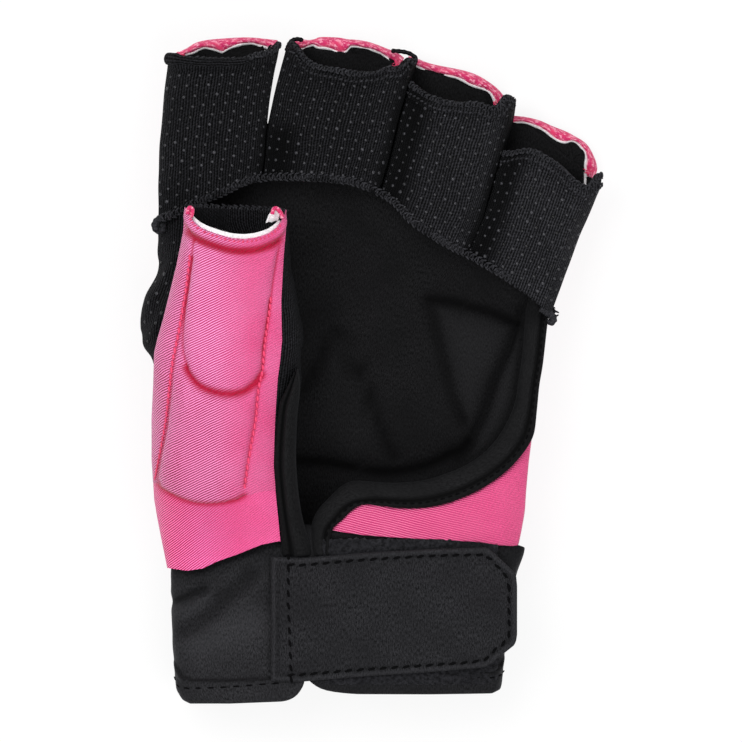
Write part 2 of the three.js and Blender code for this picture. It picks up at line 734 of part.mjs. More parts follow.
// The twill between the thumb and the cuff, which stays with the hand
function addThumbRoot() {
  const panel = patch(thumbBaseTube, {
    columns: [-90, -80, ...spread(-66, 10, 6)],
    rows: 2,
    low: edgeOf(wristSeamShares, seatGap),
    high: level(along(thumbRootShare) - hingeGap),
    inner: foamShell,
  });
  handBody.add(piece('thumb_root_panel', panel, colours.twill));
}

// A finger in its own frame: the root crease lies on X at the top of the finger, and Y runs to the tip
function fingerGroup(finger) {
  const { name, back, drop, knit, hem, lean } = finger;
  const width = fingerWidth(finger);
  const low = shellFloor - fingerTop;
  const rim = fingerRim - fingerTop;
  const section = { left: -width / 2, right: width / 2, low, high: 0, leftRim: rim, rightRim: rim };
  const stall = tube(() => section, fingerSquareness, 4);
  const group = new THREE.Group();
  group.name = `${name}_finger`;
  const root = level(hingeGap);
  const tip = (place) => back - drop * (2 * place / width) ** 2;
  const backColumns = [90, 99, 115, 135, 160, 180, 200, 225, 245, 261, 270];
  const overRim = stall.columnAboveRim(1, 0);
  const knitColumns = [-overRim, -78, -60, -35, 0, 35, 60, 78, overRim];
  const shell = patch(stall, { columns: backColumns, rows: 3, low: root, high: tip, inner: fingerShell });
  group.add(piece(`${name}_back`, shell, colours.twill));
  const liningInset = fingerShell + seatGap;
  const lining = patch(stall, {
    columns: backColumns,
    rows: 3,
    low: root,
    high: (place) => tip(place) - liningThickness,
    outer: liningInset,
    inner: liningInset + liningThickness,
  });
  group.add(piece(`${name}_lining`, lining, colours.lining));
  const sleeve = patch(stall, {
    columns: knitColumns,
    rows: 2,
    low: root,
    high: level(knit - hem - seatGap),
    outer: knitInset,
    inner: knitInset + knitThickness,
  });
  group.add(piece(`${name}_sleeve`, sleeve, colours.knit));
  const edge = patch(stall, {
    columns: knitColumns,
    rows: 1,
    low: level(knit - hem),
    high: level(knit),
    inner: knitInset * 2 + knitThickness,
  });
  group.add(piece(`${name}_hem`, edge, colours.knit));
  const padReach = width / 2 - fingerPadMargin;
  const padEnd = back - fingerPadMargin;
  const corners = [
    new THREE.Vector2(-padReach, fingerPadStart),
    new THREE.Vector2(padReach, fingerPadStart),
    new THREE.Vector2(padReach, padEnd),
    new THREE.Vector2(-padReach, padEnd),
  ];
  group.add(piece(`${name}_pad`, flatPad(corners, -fingerTop), colours.pad));
  const { x, y } = handPlace(...fingerRootShares[name]);
  group.position.set(x, y, fingerTop);
  group.rotation.z = -THREE.MathUtils.degToRad(lean);
  return group;
}

addHandShell();
addPalmPanel();
addBackPads();
addThumbWeb();
addHeel();
addCuff();
addStrap();
addThumbRoot();
addThumbBase();
addThumbTip();

const glove = new THREE.Group();
glove.add(handBody, strapBody, thumbBase, thumbTip, ...fingers.map(fingerGroup));

export default glove;
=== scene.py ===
"""Field hockey glove, palm up: fabrics, seams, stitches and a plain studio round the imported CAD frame."""

import json
import math

import bpy
import numpy as np
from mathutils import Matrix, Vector, noise


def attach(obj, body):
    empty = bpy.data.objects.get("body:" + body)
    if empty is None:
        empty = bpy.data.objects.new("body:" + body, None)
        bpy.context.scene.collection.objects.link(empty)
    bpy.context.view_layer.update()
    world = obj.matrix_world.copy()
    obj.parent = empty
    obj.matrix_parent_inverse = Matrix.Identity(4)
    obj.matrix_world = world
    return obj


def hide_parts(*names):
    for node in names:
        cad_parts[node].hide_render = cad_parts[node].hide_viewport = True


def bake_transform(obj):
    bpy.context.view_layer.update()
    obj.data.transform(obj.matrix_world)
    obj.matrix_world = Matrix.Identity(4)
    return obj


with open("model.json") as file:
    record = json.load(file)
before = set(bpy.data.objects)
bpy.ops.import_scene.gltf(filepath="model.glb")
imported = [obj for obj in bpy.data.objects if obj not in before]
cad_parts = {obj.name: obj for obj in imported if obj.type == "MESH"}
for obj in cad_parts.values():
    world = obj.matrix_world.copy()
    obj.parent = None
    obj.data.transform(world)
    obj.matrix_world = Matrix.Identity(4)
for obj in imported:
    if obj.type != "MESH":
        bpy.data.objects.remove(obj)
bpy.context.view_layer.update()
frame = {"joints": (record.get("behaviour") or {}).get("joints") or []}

bl_info = {
    "name": "Hockey glove cloth",
    "version": (1, 0, 0),
    "blender": (4, 5, 0),
    "location": "View3D > Sidebar > Glove",
    "description": "Sews the twill, knit, bindings, stitches and strap of a half-finger hockey glove",
    "category": "Object",
}
MM = 0.001
# The photograph: its scale in mm for one pixel, its side and its middle in pixels
PIXEL = 0.269
PHOTO_SIDE = 742
PHOTO_MIDDLE = (PHOTO_SIDE - 1) / 2


def size_property(name, description, default):
    return bpy.props.FloatProperty(name=name, description=description + ", in mm", default=default, min=0)


class GloveSizes(bpy.types.PropertyGroup):
    twill_rib: size_property("Twill rib", "Distance between two diagonal ribs of the pink twill", 0.605)
    knit_wale: size_property("Knit wale", "Distance between two wales of the finger knit", 0.8)
    knit_thickness: size_property("Knit thickness", "Thickness of the finger knit", 1.0)
    foam_thickness: size_property("Foam thickness", "Thickness of the twill and its foam", 2.4)
    dot_width: size_property("Grip dot", "Width of one silicone dot", 1.0)
    dot_spacing: size_property("Grip dot spacing", "Distance between silicone dots in a row", 3.0)
    dot_rows: size_property("Grip dot rows", "Distance between rows of silicone dots", 2.8)
    overlock_pitch: size_property("Overlock pitch", "Distance between two loops of an overlocked edge", 1.5)
    overlock_width: size_property("Overlock width", "Width of an overlocked edge", 2.0)


def colour_property(name, description, default):
    return bpy.props.FloatVectorProperty(
        name=name, description=description, default=default, size=3, min=0, max=1, subtype="COLOR"
    )


def paint(red, green, blue):
    """Screen colour, 0 to 255, as linear light"""
    shares = [level / 255 for level in (red, green, blue)]
    return tuple(share / 12.92 if share < 0.0404 else ((share + 0.055) / 1.055) ** 2.4 for share in shares)


class GloveColours(bpy.types.PropertyGroup):
    # The rib pink is lighter as painted highlight on the rib tops, and the valley pink darker as painted
    # shade between them
    twill: colour_property("Twill", "Pink of the twill ribs", paint(255, 160, 216))
    twill_valley: colour_property("Twill valleys", "Deeper pink between the ribs", paint(186, 20, 92))
    twill_flat: colour_property(
        "Flat twill", "Pink of the twill where its ribs lie flat", paint(224, 74, 131)
    )
    # Painted shade: the red pink that the twill darkens to in its folds, grooves and seams
    twill_fold_shade: colour_property("Twill fold shade", "Red pink in the folds at the seams", paint(182, 10, 58))
    knit: colour_property("Knit", "Black of the finger knit", paint(21, 21, 23))
    lining: colour_property("Lining", "Black of the jersey lining", paint(21, 21, 22))
    binding: colour_property("Binding", "Black of the stretch binding", paint(24, 24, 25))
    cuff: colour_property("Cuff", "Black of the cuff", paint(35, 35, 37))
    strap: colour_property("Strap", "Black of the brushed strap", paint(33, 33, 35))
    heel_twill: colour_property("Heel twill", "Pink of the twill at the heel", paint(244, 108, 156))
    cut_twill: colour_property("Cut twill", "Pink of the twill's cut edges", paint(236, 50, 116))
    cut_yarn: colour_property(
        "Cut yarn", "Light pink of the yarn ends at the cut edges", paint(255, 165, 190)
    )
    foam: colour_property("Foam", "White of the cut foam", paint(245, 243, 245))
    silicone: colour_property("Silicone", "Grey of the grip dots", paint(34, 34, 37))
    thread: colour_property("Dark thread", "Black of the sewing thread", paint(11, 11, 12))
    pink_thread: colour_property("Pink thread", "Red pink of the stitches on the twill", paint(232, 66, 110))


def plan(points):
    """Places in the photograph's frame, in pixels, as millimetres on the glove"""
    p = np.asarray(points, float)
    return np.stack([(p[..., 0] - PHOTO_MIDDLE) * PIXEL, (PHOTO_MIDDLE - p[..., 1]) * PIXEL], -1)


def smooth_line(points, count):
    """Catmull-Rom line through points, as count places evenly spaced along it"""
    p = np.asarray(points, float)
    p = np.concatenate([2 * p[:1] - p[1:2], p, 2 * p[-1:] - p[-2:-1]])
    dense = []
    for a, b, c, d in zip(p, p[1:], p[2:], p[3:]):
        for t in np.linspace(0, 1, 16, endpoint=False):
            bend, twist = 2 * a - 5 * b + 4 * c - d, 3 * b - a - 3 * c + d
            dense.append(0.5 * (2 * b + (c - a) * t + bend * t**2 + twist * t**3))
    dense.append(p[-2])
    return even(np.array(dense), count)


def even(points, count):
    """count places evenly spaced along a polyline"""
    steps = np.linalg.norm(np.diff(points, axis=0), axis=1)
    reach = np.concatenate([[0], np.cumsum(steps)])
    places = np.linspace(0, reach[-1], count)
    return np.stack([np.interp(places, reach, points[:, axis]) for axis in range(points.shape[1])], -1)


def table(rows):
    """Function of y, in mm, from (y, value) rows"""
    rows = sorted(rows)
    ys, values = [r[0] for r in rows], [r[1] for r in rows]
    return lambda y: np.interp(y, ys, values)


def side_of(points):
    """x as a function of y along an outline given in pixels"""
    p = plan(points)
    order = np.argsort(p[:, 1])
    return lambda y: np.interp(y, p[order, 1], p[order, 0])


def level_of(points):
    """y as a function of x along an edge given in pixels"""
    p = plan(points)
    order = np.argsort(p[:, 0])
    return lambda x: np.interp(x, p[order, 0], p[order, 1])


def length_of(points):
    """Length of a polyline"""
    return np.linalg.norm(np.diff(points, axis=0), axis=1).sum()


def unit(rows):
    """The same directions with length 1"""
    return rows / np.maximum(np.linalg.norm(rows, axis=-1, keepdims=True), 1e-9)


def with_height(flat, height):
    """Plan places with a height, one for all or one for each"""
    return np.concatenate([flat, np.broadcast_to(height, flat.shape[:-1])[..., None]], -1)


def rounded(value, squareness):
    """Sine or cosine of a girth whose corners are squarer than a circle's"""
    return np.sign(value) * np.abs(value) ** (2 / squareness)


def ease(low, high, value):
    """0 below low, 1 above high, and smooth between them"""
    t = np.clip((value - low) / (high - low), 0, 1)
    return t * t * (3 - 2 * t)


def wrinkle(points, size, height, seed=0.0):
    """Smooth random offset for each place"""
    p = points.reshape(-1, points.shape[-1])
    out = [noise.noise(Vector((q[0] / size + seed, q[1] / size - seed, seed * 1.7))) for q in p]
    return np.array(out).reshape(points.shape[:-1]) * height


def distance_to(line, points):
    """Distance of each plan place to a polyline"""
    p = points[..., None, :2]
    a, b = line[:-1], line[1:]
    along = b - a
    t = np.clip(((p - a) * along).sum(-1) / np.maximum((along**2).sum(-1), 1e-9), 0, 1)
    return np.linalg.norm(p - (a + t[..., None] * along), axis=-1).min(-1)


def inside(outline, points):
    """True where a plan place lies inside a closed outline"""
    x, y = points[..., 0], points[..., 1]
    hit = np.zeros(x.shape, bool)
    for (x0, y0), (x1, y1) in zip(outline, np.roll(outline, -1, axis=0)):
        if y0 == y1:
            continue
        crosses = ((y0 > y) != (y1 > y)) & (x < (x1 - x0) * (y - y0) / (y1 - y0) + x0)
        hit ^= crosses
    return hit


def ridge(distance, width, middle=0.0):
    """1 at a distance of middle, falling off on both sides within a width"""
    return np.exp(-(((distance - middle) / width) ** 2))


def raised(outline, points, height, soft, groove, width):
    """Height of a pad sewn under the cloth: a rounded step inside its outline and a groove along it"""
    distance = distance_to(np.concatenate([outline, outline[:1]]), points)
    pad = np.where(inside(outline, points), height * (1 - np.exp(-distance / soft)), 0)
    return pad - groove * ridge(distance, width)


def surface_normals(grid):
    """Unit normals of a grid of places, by column and row steps"""
    return unit(np.cross(np.gradient(grid, axis=1), np.gradient(grid, axis=0)))


def cloth_map(grid):
    """Places on the flat cloth, in mm: across and along"""
    across = np.linalg.norm(np.diff(grid, axis=1), axis=-1).mean(0)
    along = np.linalg.norm(np.diff(grid, axis=0), axis=-1).mean(1)
    u = np.concatenate([[0], np.cumsum(across)])
    v = np.concatenate([[0], np.cumsum(along)])
    return np.stack(np.meshgrid(u - u.mean(), v), -1)


def lay_flat(grid, middle):
    """Places on the cloth, in mm: the length across each row from a middle column, and the plan's y; steep
    parts count for less than their length, so the ribs keep their pitch from the front"""
    moves = np.diff(grid, axis=1)
    steps = np.maximum(np.abs(moves[..., 0]), 0.6 * np.linalg.norm(moves, axis=-1))
    reach = np.concatenate([np.zeros((len(grid), 1)), np.cumsum(steps, axis=1)], 1)
    across = grid[:, middle, 0][:, None] + reach - reach[:, middle][:, None]
    return np.stack([across, grid[..., 1]], -1)


# The sharpest edge, in degrees, that is still shaded smooth
SMOOTH_ANGLE = 58


def new_object(name, vertices, faces, uvs, cloths, slots, depth=None):
    """A piece from places in mm; uvs are its places on the cloth, depth the painted shade at each place,
    painted light where below 0
    """
    mesh = bpy.data.meshes.new(name)
    mesh.from_pydata([tuple(v) for v in np.asarray(vertices) * MM], [], faces)
    mesh.validate()
    layer = mesh.uv_layers.new(name="Cloth")
    flat = np.array([place for face in uvs for place in face], float)
    layer.data.foreach_set("uv", flat.ravel())
    for cloth in cloths:
        mesh.materials.append(materials[cloth])
    mesh.polygons.foreach_set("material_index", slots)
    if depth is not None:
        fold = mesh.attributes.new("Depth", "FLOAT", "POINT")
        fold.data.foreach_set("value", np.ascontiguousarray(depth, np.float32))
    mesh.polygons.foreach_set("use_smooth", [True] * len(faces))
    mesh.set_sharp_from_angle(angle=math.radians(SMOOTH_ANGLE))
    mesh.update()
    piece = bpy.data.objects.new(name, mesh)
    bpy.context.scene.collection.objects.link(piece)
    return piece


def wall(name, outer, inner, *cloths, subdivide=0, uv=None, depth=None):
    """Closed cloth wall between two grids of places. The cloths are its outside, its inside and its cut
    edges; the last one given serves for the rest. depth is the painted shade at each place, which darkens its
    cloth in folds and grooves; below 0 it is painted light, which makes the cloth lighter"""
    rows, columns = outer.shape[:2]
    uv = cloth_map(outer) if uv is None else uv
    count = rows * columns
    last = len(cloths) - 1
    faces, uvs, slots = [], [], []
    for r, c in np.ndindex(rows - 1, columns - 1):
        ring = [(r, c), (r, c + 1), (r + 1, c + 1), (r + 1, c)]
        for start, slot, turned in ((0, 0, ring), (count, min(1, last), ring[::-1])):
            faces.append([start + a * columns + b for a, b in turned])
            uvs.append([uv[a, b] for a, b in turned])
            slots.append(slot)
    border = [(0, c) for c in range(columns - 1)] + [(r, columns - 1) for r in range(rows - 1)]
    border += [(rows - 1, c) for c in range(columns - 1, 0, -1)] + [(r, 0) for r in range(rows - 1, 0, -1)]
    for (r0, c0), (r1, c1) in zip(border, border[1:] + border[:1]):
        a, b = r0 * columns + c0, r1 * columns + c1
        faces.append([b, a, count + a, count + b])
        uvs.append([uv[r1, c1], uv[r0, c0], uv[r0, c0], uv[r1, c1]])
        slots.append(last)
    if depth is not None:
        depth = np.tile(np.ravel(depth), 2)
    vertices = np.concatenate([outer.reshape(-1, 3), inner.reshape(-1, 3)])
    piece = new_object(name, vertices, faces, uvs, cloths, slots, depth)
    if subdivide:
        smooth_out(piece, subdivide)
    return piece


def smooth_out(piece, levels):
    """Rounds a piece off by subdivision"""
    rounder = piece.modifiers.new("Rounded", "SUBSURF")
    rounder.levels = levels
    rounder.render_levels = levels
    bake(piece)


def bake(piece):
    """Turns the piece's modifiers into plain mesh"""
    bpy.context.view_layer.update()
    evaluated = piece.evaluated_get(bpy.context.evaluated_depsgraph_get())
    mesh = bpy.data.meshes.new_from_object(evaluated)
    piece.modifiers.clear()
    old = piece.data
    piece.data = mesh
    bpy.data.meshes.remove(old)
    mesh.name = piece.name


def thick(name, outer, thickness, *cloths, **options):
    """Cloth wall of even thickness under a grid of places"""
    return wall(name, outer, outer - surface_normals(outer) * thickness, *cloths, **options)


def sweep(name, path, profile, cloth, subdivide=0, taper=1.0):
    """Closed roll: a profile of (side, height) places in mm carried along a path"""
    count, sides = len(path), len(profile)
    tangent = unit(np.gradient(path, axis=0))
    side = unit(np.cross((0.0, 0.0, 1.0), tangent))
    normal = np.cross(tangent, side)
    scale = np.broadcast_to(taper, count)[:, None, None]
    rings = (
        path[:, None]
        + side[:, None] * profile[None, :, 0, None] * scale
        + normal[:, None] * profile[None, :, 1, None] * scale
    )
    reach = np.concatenate([[0], np.cumsum(np.linalg.norm(np.diff(path, axis=0), axis=1))])
    around = np.diff(profile, axis=0, append=profile[:1])
    girth = np.concatenate([[0], np.cumsum(np.linalg.norm(around, axis=1))])
    faces, uvs = [], []
    for r, k in np.ndindex(count - 1, sides):
        n, m = (k + 1) % sides, r + 1
        faces.append([r * sides + k, r * sides + n, m * sides + n, m * sides + k])
        low, high = (girth[k], girth[k + 1])
        uvs.append([(low, reach[r]), (high, reach[r]), (high, reach[m]), (low, reach[m])])
    for end, turned in ((0, reversed(range(sides))), (count - 1, range(sides))):
        faces.append([end * sides + k for k in turned])
        uvs.append([(girth[k], reach[end]) for k in range(sides)])
    piece = new_object(name, rings.reshape(-1, 3), faces, uvs, [cloth], [0] * len(faces))
    if subdivide:
        smooth_out(piece, subdivide)
    return piece


def oval(width, height, sides):
    """Profile of a roll"""
    turns = np.linspace(0, 2 * math.pi, sides, endpoint=False)
    return np.stack([width / 2 * np.cos(turns), height / 2 * np.sin(turns)], -1)


def sew(piece, slot, *nodes, body="hand", across=None, fill=None):
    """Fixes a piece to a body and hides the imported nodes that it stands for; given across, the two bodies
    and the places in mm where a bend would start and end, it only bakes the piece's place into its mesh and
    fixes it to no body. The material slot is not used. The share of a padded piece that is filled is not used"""
    if across:
        start_body, end_body, *places = across
        start, end = (tuple(np.array(place) * MM) for place in places)
        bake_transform(piece)
    else:
        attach(piece, body)
    if nodes:
        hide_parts(*nodes)


def node_group(name, inputs, outputs):
    group = bpy.data.node_groups.new(name, "ShaderNodeTree")
    for socket, kind, default in inputs:
        made = group.interface.new_socket(socket, in_out="INPUT", socket_type=kind)
        if default is not None:
            made.default_value = default
    for socket, kind in outputs:
        group.interface.new_socket(socket, in_out="OUTPUT", socket_type=kind)
    return group, group.nodes.new("NodeGroupInput"), group.nodes.new("NodeGroupOutput")


class Wires:
    """Short ways to add and join nodes in one tree"""

    def __init__(self, tree):
        self.nodes, self.links = tree.nodes, tree.links

    def put(self, value, socket):
        if isinstance(value, bpy.types.NodeSocket):
            self.links.new(value, socket)
        else:
            socket.default_value = value

    def made(self, kind, *values, **settings):
        """A new node with its settings, and its first inputs filled"""
        node = self.nodes.new(kind)
        for name, value in settings.items():
            setattr(node, name, value)
        for value, socket in zip(values, node.inputs):
            self.put(value, socket)
        return node

    def math(self, operation, *values):
        return self.made("ShaderNodeMath", *values, operation=operation).outputs[0]

    def vector(self, operation, *values):
        node = self.made("ShaderNodeVectorMath", *values, operation=operation)
        return node.outputs["Value" if operation == "DOT_PRODUCT" else "Vector"]

    def axes(self, vector):
        return self.made("ShaderNodeSeparateXYZ", vector).outputs

    def depth(self):
        """The painted shade at each place; below 0 it is painted light"""
        return self.made("ShaderNodeAttribute", attribute_name="Depth").outputs["Fac"]

    def noise(self, vector, scale, detail=2.0, roughness=0.5):
        node = self.nodes.new("ShaderNodeTexNoise")
        values = {"Vector": vector, "Scale": scale, "Detail": detail, "Roughness": roughness}
        for name, value in values.items():
            self.put(value, node.inputs[name])
        return node.outputs["Fac"]

    def mix(self, share, low, high):
        node = self.nodes.new("ShaderNodeMix")
        node.data_type = "RGBA"
        self.put(share, node.inputs["Factor"])
        self.put(low, node.inputs[6])
        self.put(high, node.inputs[7])
        return node.outputs[2]

    def spread(self, value, low, high, new_low=0.0, new_high=1.0):
        node = self.nodes.new("ShaderNodeMapRange")
        self.put(value, node.inputs["Value"])
        ends = {"From Min": low, "From Max": high, "To Min": new_low, "To Max": new_high}
        for name, number in ends.items():
            self.put(number, node.inputs[name])
        return node.outputs["Result"]


def make_rib_group():
    """Parallel ribs on the flat cloth: Height of the ribs and a Breaks mask across them"""
    group, given, result = node_group(
        "Cloth ribs",
        [
            ("Cloth", "NodeSocketVector", None),
            ("Across", "NodeSocketVector", (1, 0, 0)),
            ("Pitch", "NodeSocketFloat", 0.8),
            ("Waver", "NodeSocketFloat", 0.3),
            ("Break Length", "NodeSocketFloat", 1.0),
        ],
        [("Height", "NodeSocketFloat"), ("Breaks", "NodeSocketFloat")],
    )
    w = Wires(group)
    full_turn = 2 * math.pi
    place = given.outputs["Cloth"]
    across = w.vector("DOT_PRODUCT", place, given.outputs["Across"])
    bend = w.math("MULTIPLY", w.math("SUBTRACT", w.noise(place, 0.16), 0.5), given.outputs["Waver"])
    phase = w.math("DIVIDE", w.math("ADD", across, bend), given.outputs["Pitch"])
    rib = w.math("SINE", w.math("MULTIPLY", phase, full_turn))
    turned = w.vector("CROSS_PRODUCT", given.outputs["Across"], (0, 0, 1))
    run = w.math("DIVIDE", w.vector("DOT_PRODUCT", place, turned), given.outputs["Break Length"])
    row = w.math("MULTIPLY", w.math("FLOOR", phase), 0.37)
    cross_rib = w.math("SINE", w.math("MULTIPLY", w.math("ADD", run, row), full_turn))
    group.links.new(w.math("MULTIPLY_ADD", rib, 0.5, 0.5), result.inputs["Height"])
    group.links.new(w.math("MULTIPLY_ADD", cross_rib, 0.5, 0.5), result.inputs["Breaks"])
    return group


def make_fuzz_group():
    """Fine fibres and soft mottling over a cloth"""
    group, given, result = node_group(
        "Cloth fuzz",
        [
            ("Place", "NodeSocketVector", None),
            ("Stretch", "NodeSocketVector", (1, 1, 1)),
            ("Scale", "NodeSocketFloat", 1.0),
        ],
        [("Fibre", "NodeSocketFloat"), ("Mottle", "NodeSocketFloat")],
    )
    w = Wires(group)
    stretched = w.vector("MULTIPLY", given.outputs["Place"], given.outputs["Stretch"])
    group.links.new(w.noise(stretched, given.outputs["Scale"], 4.0, 0.7), result.inputs["Fibre"])
    group.links.new(w.noise(given.outputs["Place"], 0.09, 3.0, 0.5), result.inputs["Mottle"])
    return group


def use_group(w, group, **values):
    """One of the shared groups in a material; an underscore in a value's name stands for a space"""
    node = w.made("ShaderNodeGroup", node_tree=groups[group])
    for name, value in values.items():
        w.put(value, node.inputs[name.replace("_", " ")])
    return node.outputs


def start_material(name, roughness, sheen, sheen_tint, specular):
    material = bpy.data.materials.new(name)
    material.use_nodes = True
    shader = material.node_tree.nodes["Principled BSDF"]
    for socket, value in (
        ("Roughness", roughness),
        ("Sheen Weight", sheen),
        ("Sheen Roughness", 0.45),
        ("Sheen Tint", rgba(sheen_tint)),
        ("Specular IOR Level", specular),
    ):
        shader.inputs[socket].default_value = value
    w = Wires(material.node_tree)
    return material, shader, w, w.made("ShaderNodeUVMap", uv_map="Cloth").outputs[0]


def add_bump(w, shader, height, distance, strength):
    bump = w.nodes.new("ShaderNodeBump")
    bump.inputs["Strength"].default_value = strength
    bump.inputs["Distance"].default_value = distance * MM
    w.links.new(height, bump.inputs["Height"])
    w.links.new(bump.outputs[0], shader.inputs["Normal"])


def rgba(colour):
    return (*colour, 1)


def shade(colour, share):
    """A colour made lighter or darker"""
    return rgba([min(c * share, 1) for c in colour])


def tinted(colour, tint):
    return [c * t for c, t in zip(colour, tint)]


# Filled by the first operator: finished materials and shared node groups, by name
materials = {}
groups = {}

WHITE = (1, 1, 1)
PINK_SHEEN = (1, 0.85, 0.92)
GREY_SHEEN = (0.8, 0.82, 0.88)
# Tints of the twill's valleys and ribs where their painted shade and painted highlight are strongest
SHADED_VALLEY_TINT = (0.5, 0.02, 0.2)
LIT_RIDGE_TINT = (1.08, 0.78, 0.9)
# A stretch, in mm, that lies beyond the glove
NOWHERE = (400, 500)


def twill(name, angle, fade, strength=1.0, pitch=1.0, ridge=None, strong_shading=None, tint=WHITE, flat_tint=WHITE):
    """Diagonal pink twill whose ribs are lighter on top as painted highlight and darker between as painted
    shade; angle is the ribs' direction on the cloth, in degrees, and fade the place across it, in mm, past
    which that painted highlight and shade give way to an even pink; a further pair of ranges gives the place
    across and the place along where the painted highlight and shade are strongest"""
    sizes, colours = bpy.context.scene.glove_sizes, bpy.context.scene.glove_colours
    material, shader, w, cloth = start_material(name, 0.6, 0.2, PINK_SHEEN, 0.2)
    high, low = tinted(ridge or colours.twill, tint), tinted(colours.twill_valley, tint)
    even_pink = tinted(colours.twill_flat, flat_tint)
    turn = math.radians(angle + 90)
    ribs = use_group(
        w, "ribs", Cloth=cloth, Across=(math.cos(turn), math.sin(turn), 0),
        Pitch=sizes.twill_rib * pitch, Waver=0.5, Break_Length=0.5,
    )
    fuzz = use_group(w, "fuzz", Place=cloth, Scale=2.4)
    rib = w.math("MULTIPLY_ADD", fuzz["Fibre"], 0.3, w.math("MULTIPLY", ribs["Height"], 0.9))
    lit = w.spread(rib, 0.5, 0.8, 0.45 - 0.45 * strength, 0.45 + 0.55 * strength)
    across, along, _ = w.axes(cloth)
    flat = w.math("MULTIPLY", w.spread(across, *fade), 0.85)
    even_tone = w.mix(w.spread(fuzz["Fibre"], 0.35, 0.65), shade(even_pink, 0.74), shade(even_pink, 1.2))
    valley_tone, ridge_tone = shade(low, 1), shade(high, 1)
    if strong_shading:
        side, end = w.spread(across, *strong_shading[0]), w.spread(along, *strong_shading[1])
        where = w.math("MAXIMUM", side, w.math("MULTIPLY", end, 0.8))
        valley_tone = w.mix(where, valley_tone, rgba(tinted(low, SHADED_VALLEY_TINT)))
        ridge_tone = w.mix(where, ridge_tone, rgba(tinted(high, LIT_RIDGE_TINT)))
    # Painted highlight on the rib tops and painted shade in the valleys, fading to an even pink past fade
    tone = w.mix(flat, w.mix(lit, valley_tone, ridge_tone), even_tone)
    tone = w.mix(w.spread(fuzz["Mottle"], 0.3, 0.7, 0.0, 0.2), tone, shade(high, 0.84))
    # Painted shade: the Depth attribute darkens the twill to its fold pink
    w.links.new(w.mix(w.depth(), tone, rgba(colours.twill_fold_shade)), shader.inputs["Base Color"])
    add_bump(w, shader, w.math("MULTIPLY_ADD", ribs["Breaks"], 0.18, rib), 0.2, 0.9)
    return material


def knit(name):
    """Ribbed knit with wales that run along the cloth; its wales carry painted highlights, it turns lighter
    towards the little finger as painted light, and painted shade darkens it in the valleys between the
    fingers
    """
    sizes, colours = bpy.context.scene.glove_sizes, bpy.context.scene.glove_colours
    material, shader, w, cloth = start_material(name, 0.75, 0.02, GREY_SHEEN, 0.05)
    ribs = use_group(
        w, "ribs", Cloth=cloth, Across=(1, 0, 0), Pitch=sizes.knit_wale, Waver=0.9, Break_Length=0.85
    )
    fuzz = use_group(w, "fuzz", Place=cloth, Scale=1.3)
    body = w.math("MULTIPLY_ADD", ribs["Breaks"], 0.4, ribs["Height"])
    lit = w.spread(w.math("MULTIPLY_ADD", fuzz["Fibre"], 3.0, body), 1.75, 3.0)
    dim = w.mix(lit, shade(colours.knit, 0.05), shade(colours.knit, 3.15))
    bright = w.mix(lit, shade(colours.knit, 0.4), shade(colours.knit, 6.3))
    across = w.axes(w.made("ShaderNodeTexCoord").outputs["Object"])["X"]
    # Painted light: the knit turns lighter across the glove towards the little finger
    tone = w.mix(w.spread(across, -5 * MM, 45 * MM), dim, bright)
    tone = w.mix(w.spread(fuzz["Mottle"], 0.35, 0.65, 0.0, 0.35), tone, shade(colours.knit, 0.5))
    # Painted shade: the Depth attribute darkens the knit in the valleys between the fingers
    w.links.new(w.mix(w.depth(), tone, shade(colours.knit, 0.12)), shader.inputs["Base Color"])
    add_bump(w, shader, body, 0.26, 1.0)
    return material


def plain_cloth(name, colour, roughness, sheen, fibre, stretch, bump, scale):
    """Smooth or brushed cloth: how strongly its fibres show, their stretch and scale, and its bump in mm"""
    material, shader, w, cloth = start_material(name, roughness, sheen, GREY_SHEEN, 0.04)
    fuzz = use_group(w, "fuzz", Place=cloth, Stretch=stretch, Scale=scale)
    spot = w.spread(fuzz["Fibre"], 0.38, 0.62)
    tone = w.mix(spot, shade(colour, 1 - 0.6 * fibre), shade(colour, 1 + 0.9 * fibre))
    tone = w.mix(w.spread(fuzz["Mottle"], 0.35, 0.65, 0.0, 0.5), tone, shade(colour, 0.7))
    # Painted shade: the cloth darkens where the Depth attribute is above 0
    depth = w.depth()
    tone = w.mix(depth, tone, shade(colour, 0.25))
    # Painted light: the cloth turns lighter where the Depth attribute is below 0
    painted_light = w.mix(spot, shade(colour, 1.6), shade(colour, 3.0))
    w.links.new(w.mix(w.math("MULTIPLY", depth, -1.0), tone, painted_light), shader.inputs["Base Color"])
    add_bump(w, shader, fuzz["Fibre"], bump, 0.8)
    return material


def frayed(name):
    """Cut twill, with red and light pink ends of yarn"""
    colours = bpy.context.scene.glove_colours
    material, shader, w, cloth = start_material(name, 0.7, 0.15, PINK_SHEEN, 0.2)
    fuzz = use_group(w, "fuzz", Place=cloth, Stretch=(0.6, 1.2, 1), Scale=0.9)
    patches = use_group(w, "fuzz", Place=cloth, Scale=0.35)
    tone = w.mix(w.spread(fuzz["Fibre"], 0.5, 0.56), shade(colours.cut_twill, 0.8), rgba(colours.cut_yarn))
    red = w.spread(patches["Fibre"], 0.5, 0.6, 0.0, 0.85)
    w.links.new(w.mix(red, tone, rgba(colours.pink_thread)), shader.inputs["Base Color"])
    add_bump(w, shader, fuzz["Fibre"], 0.6, 1.0)
    return material


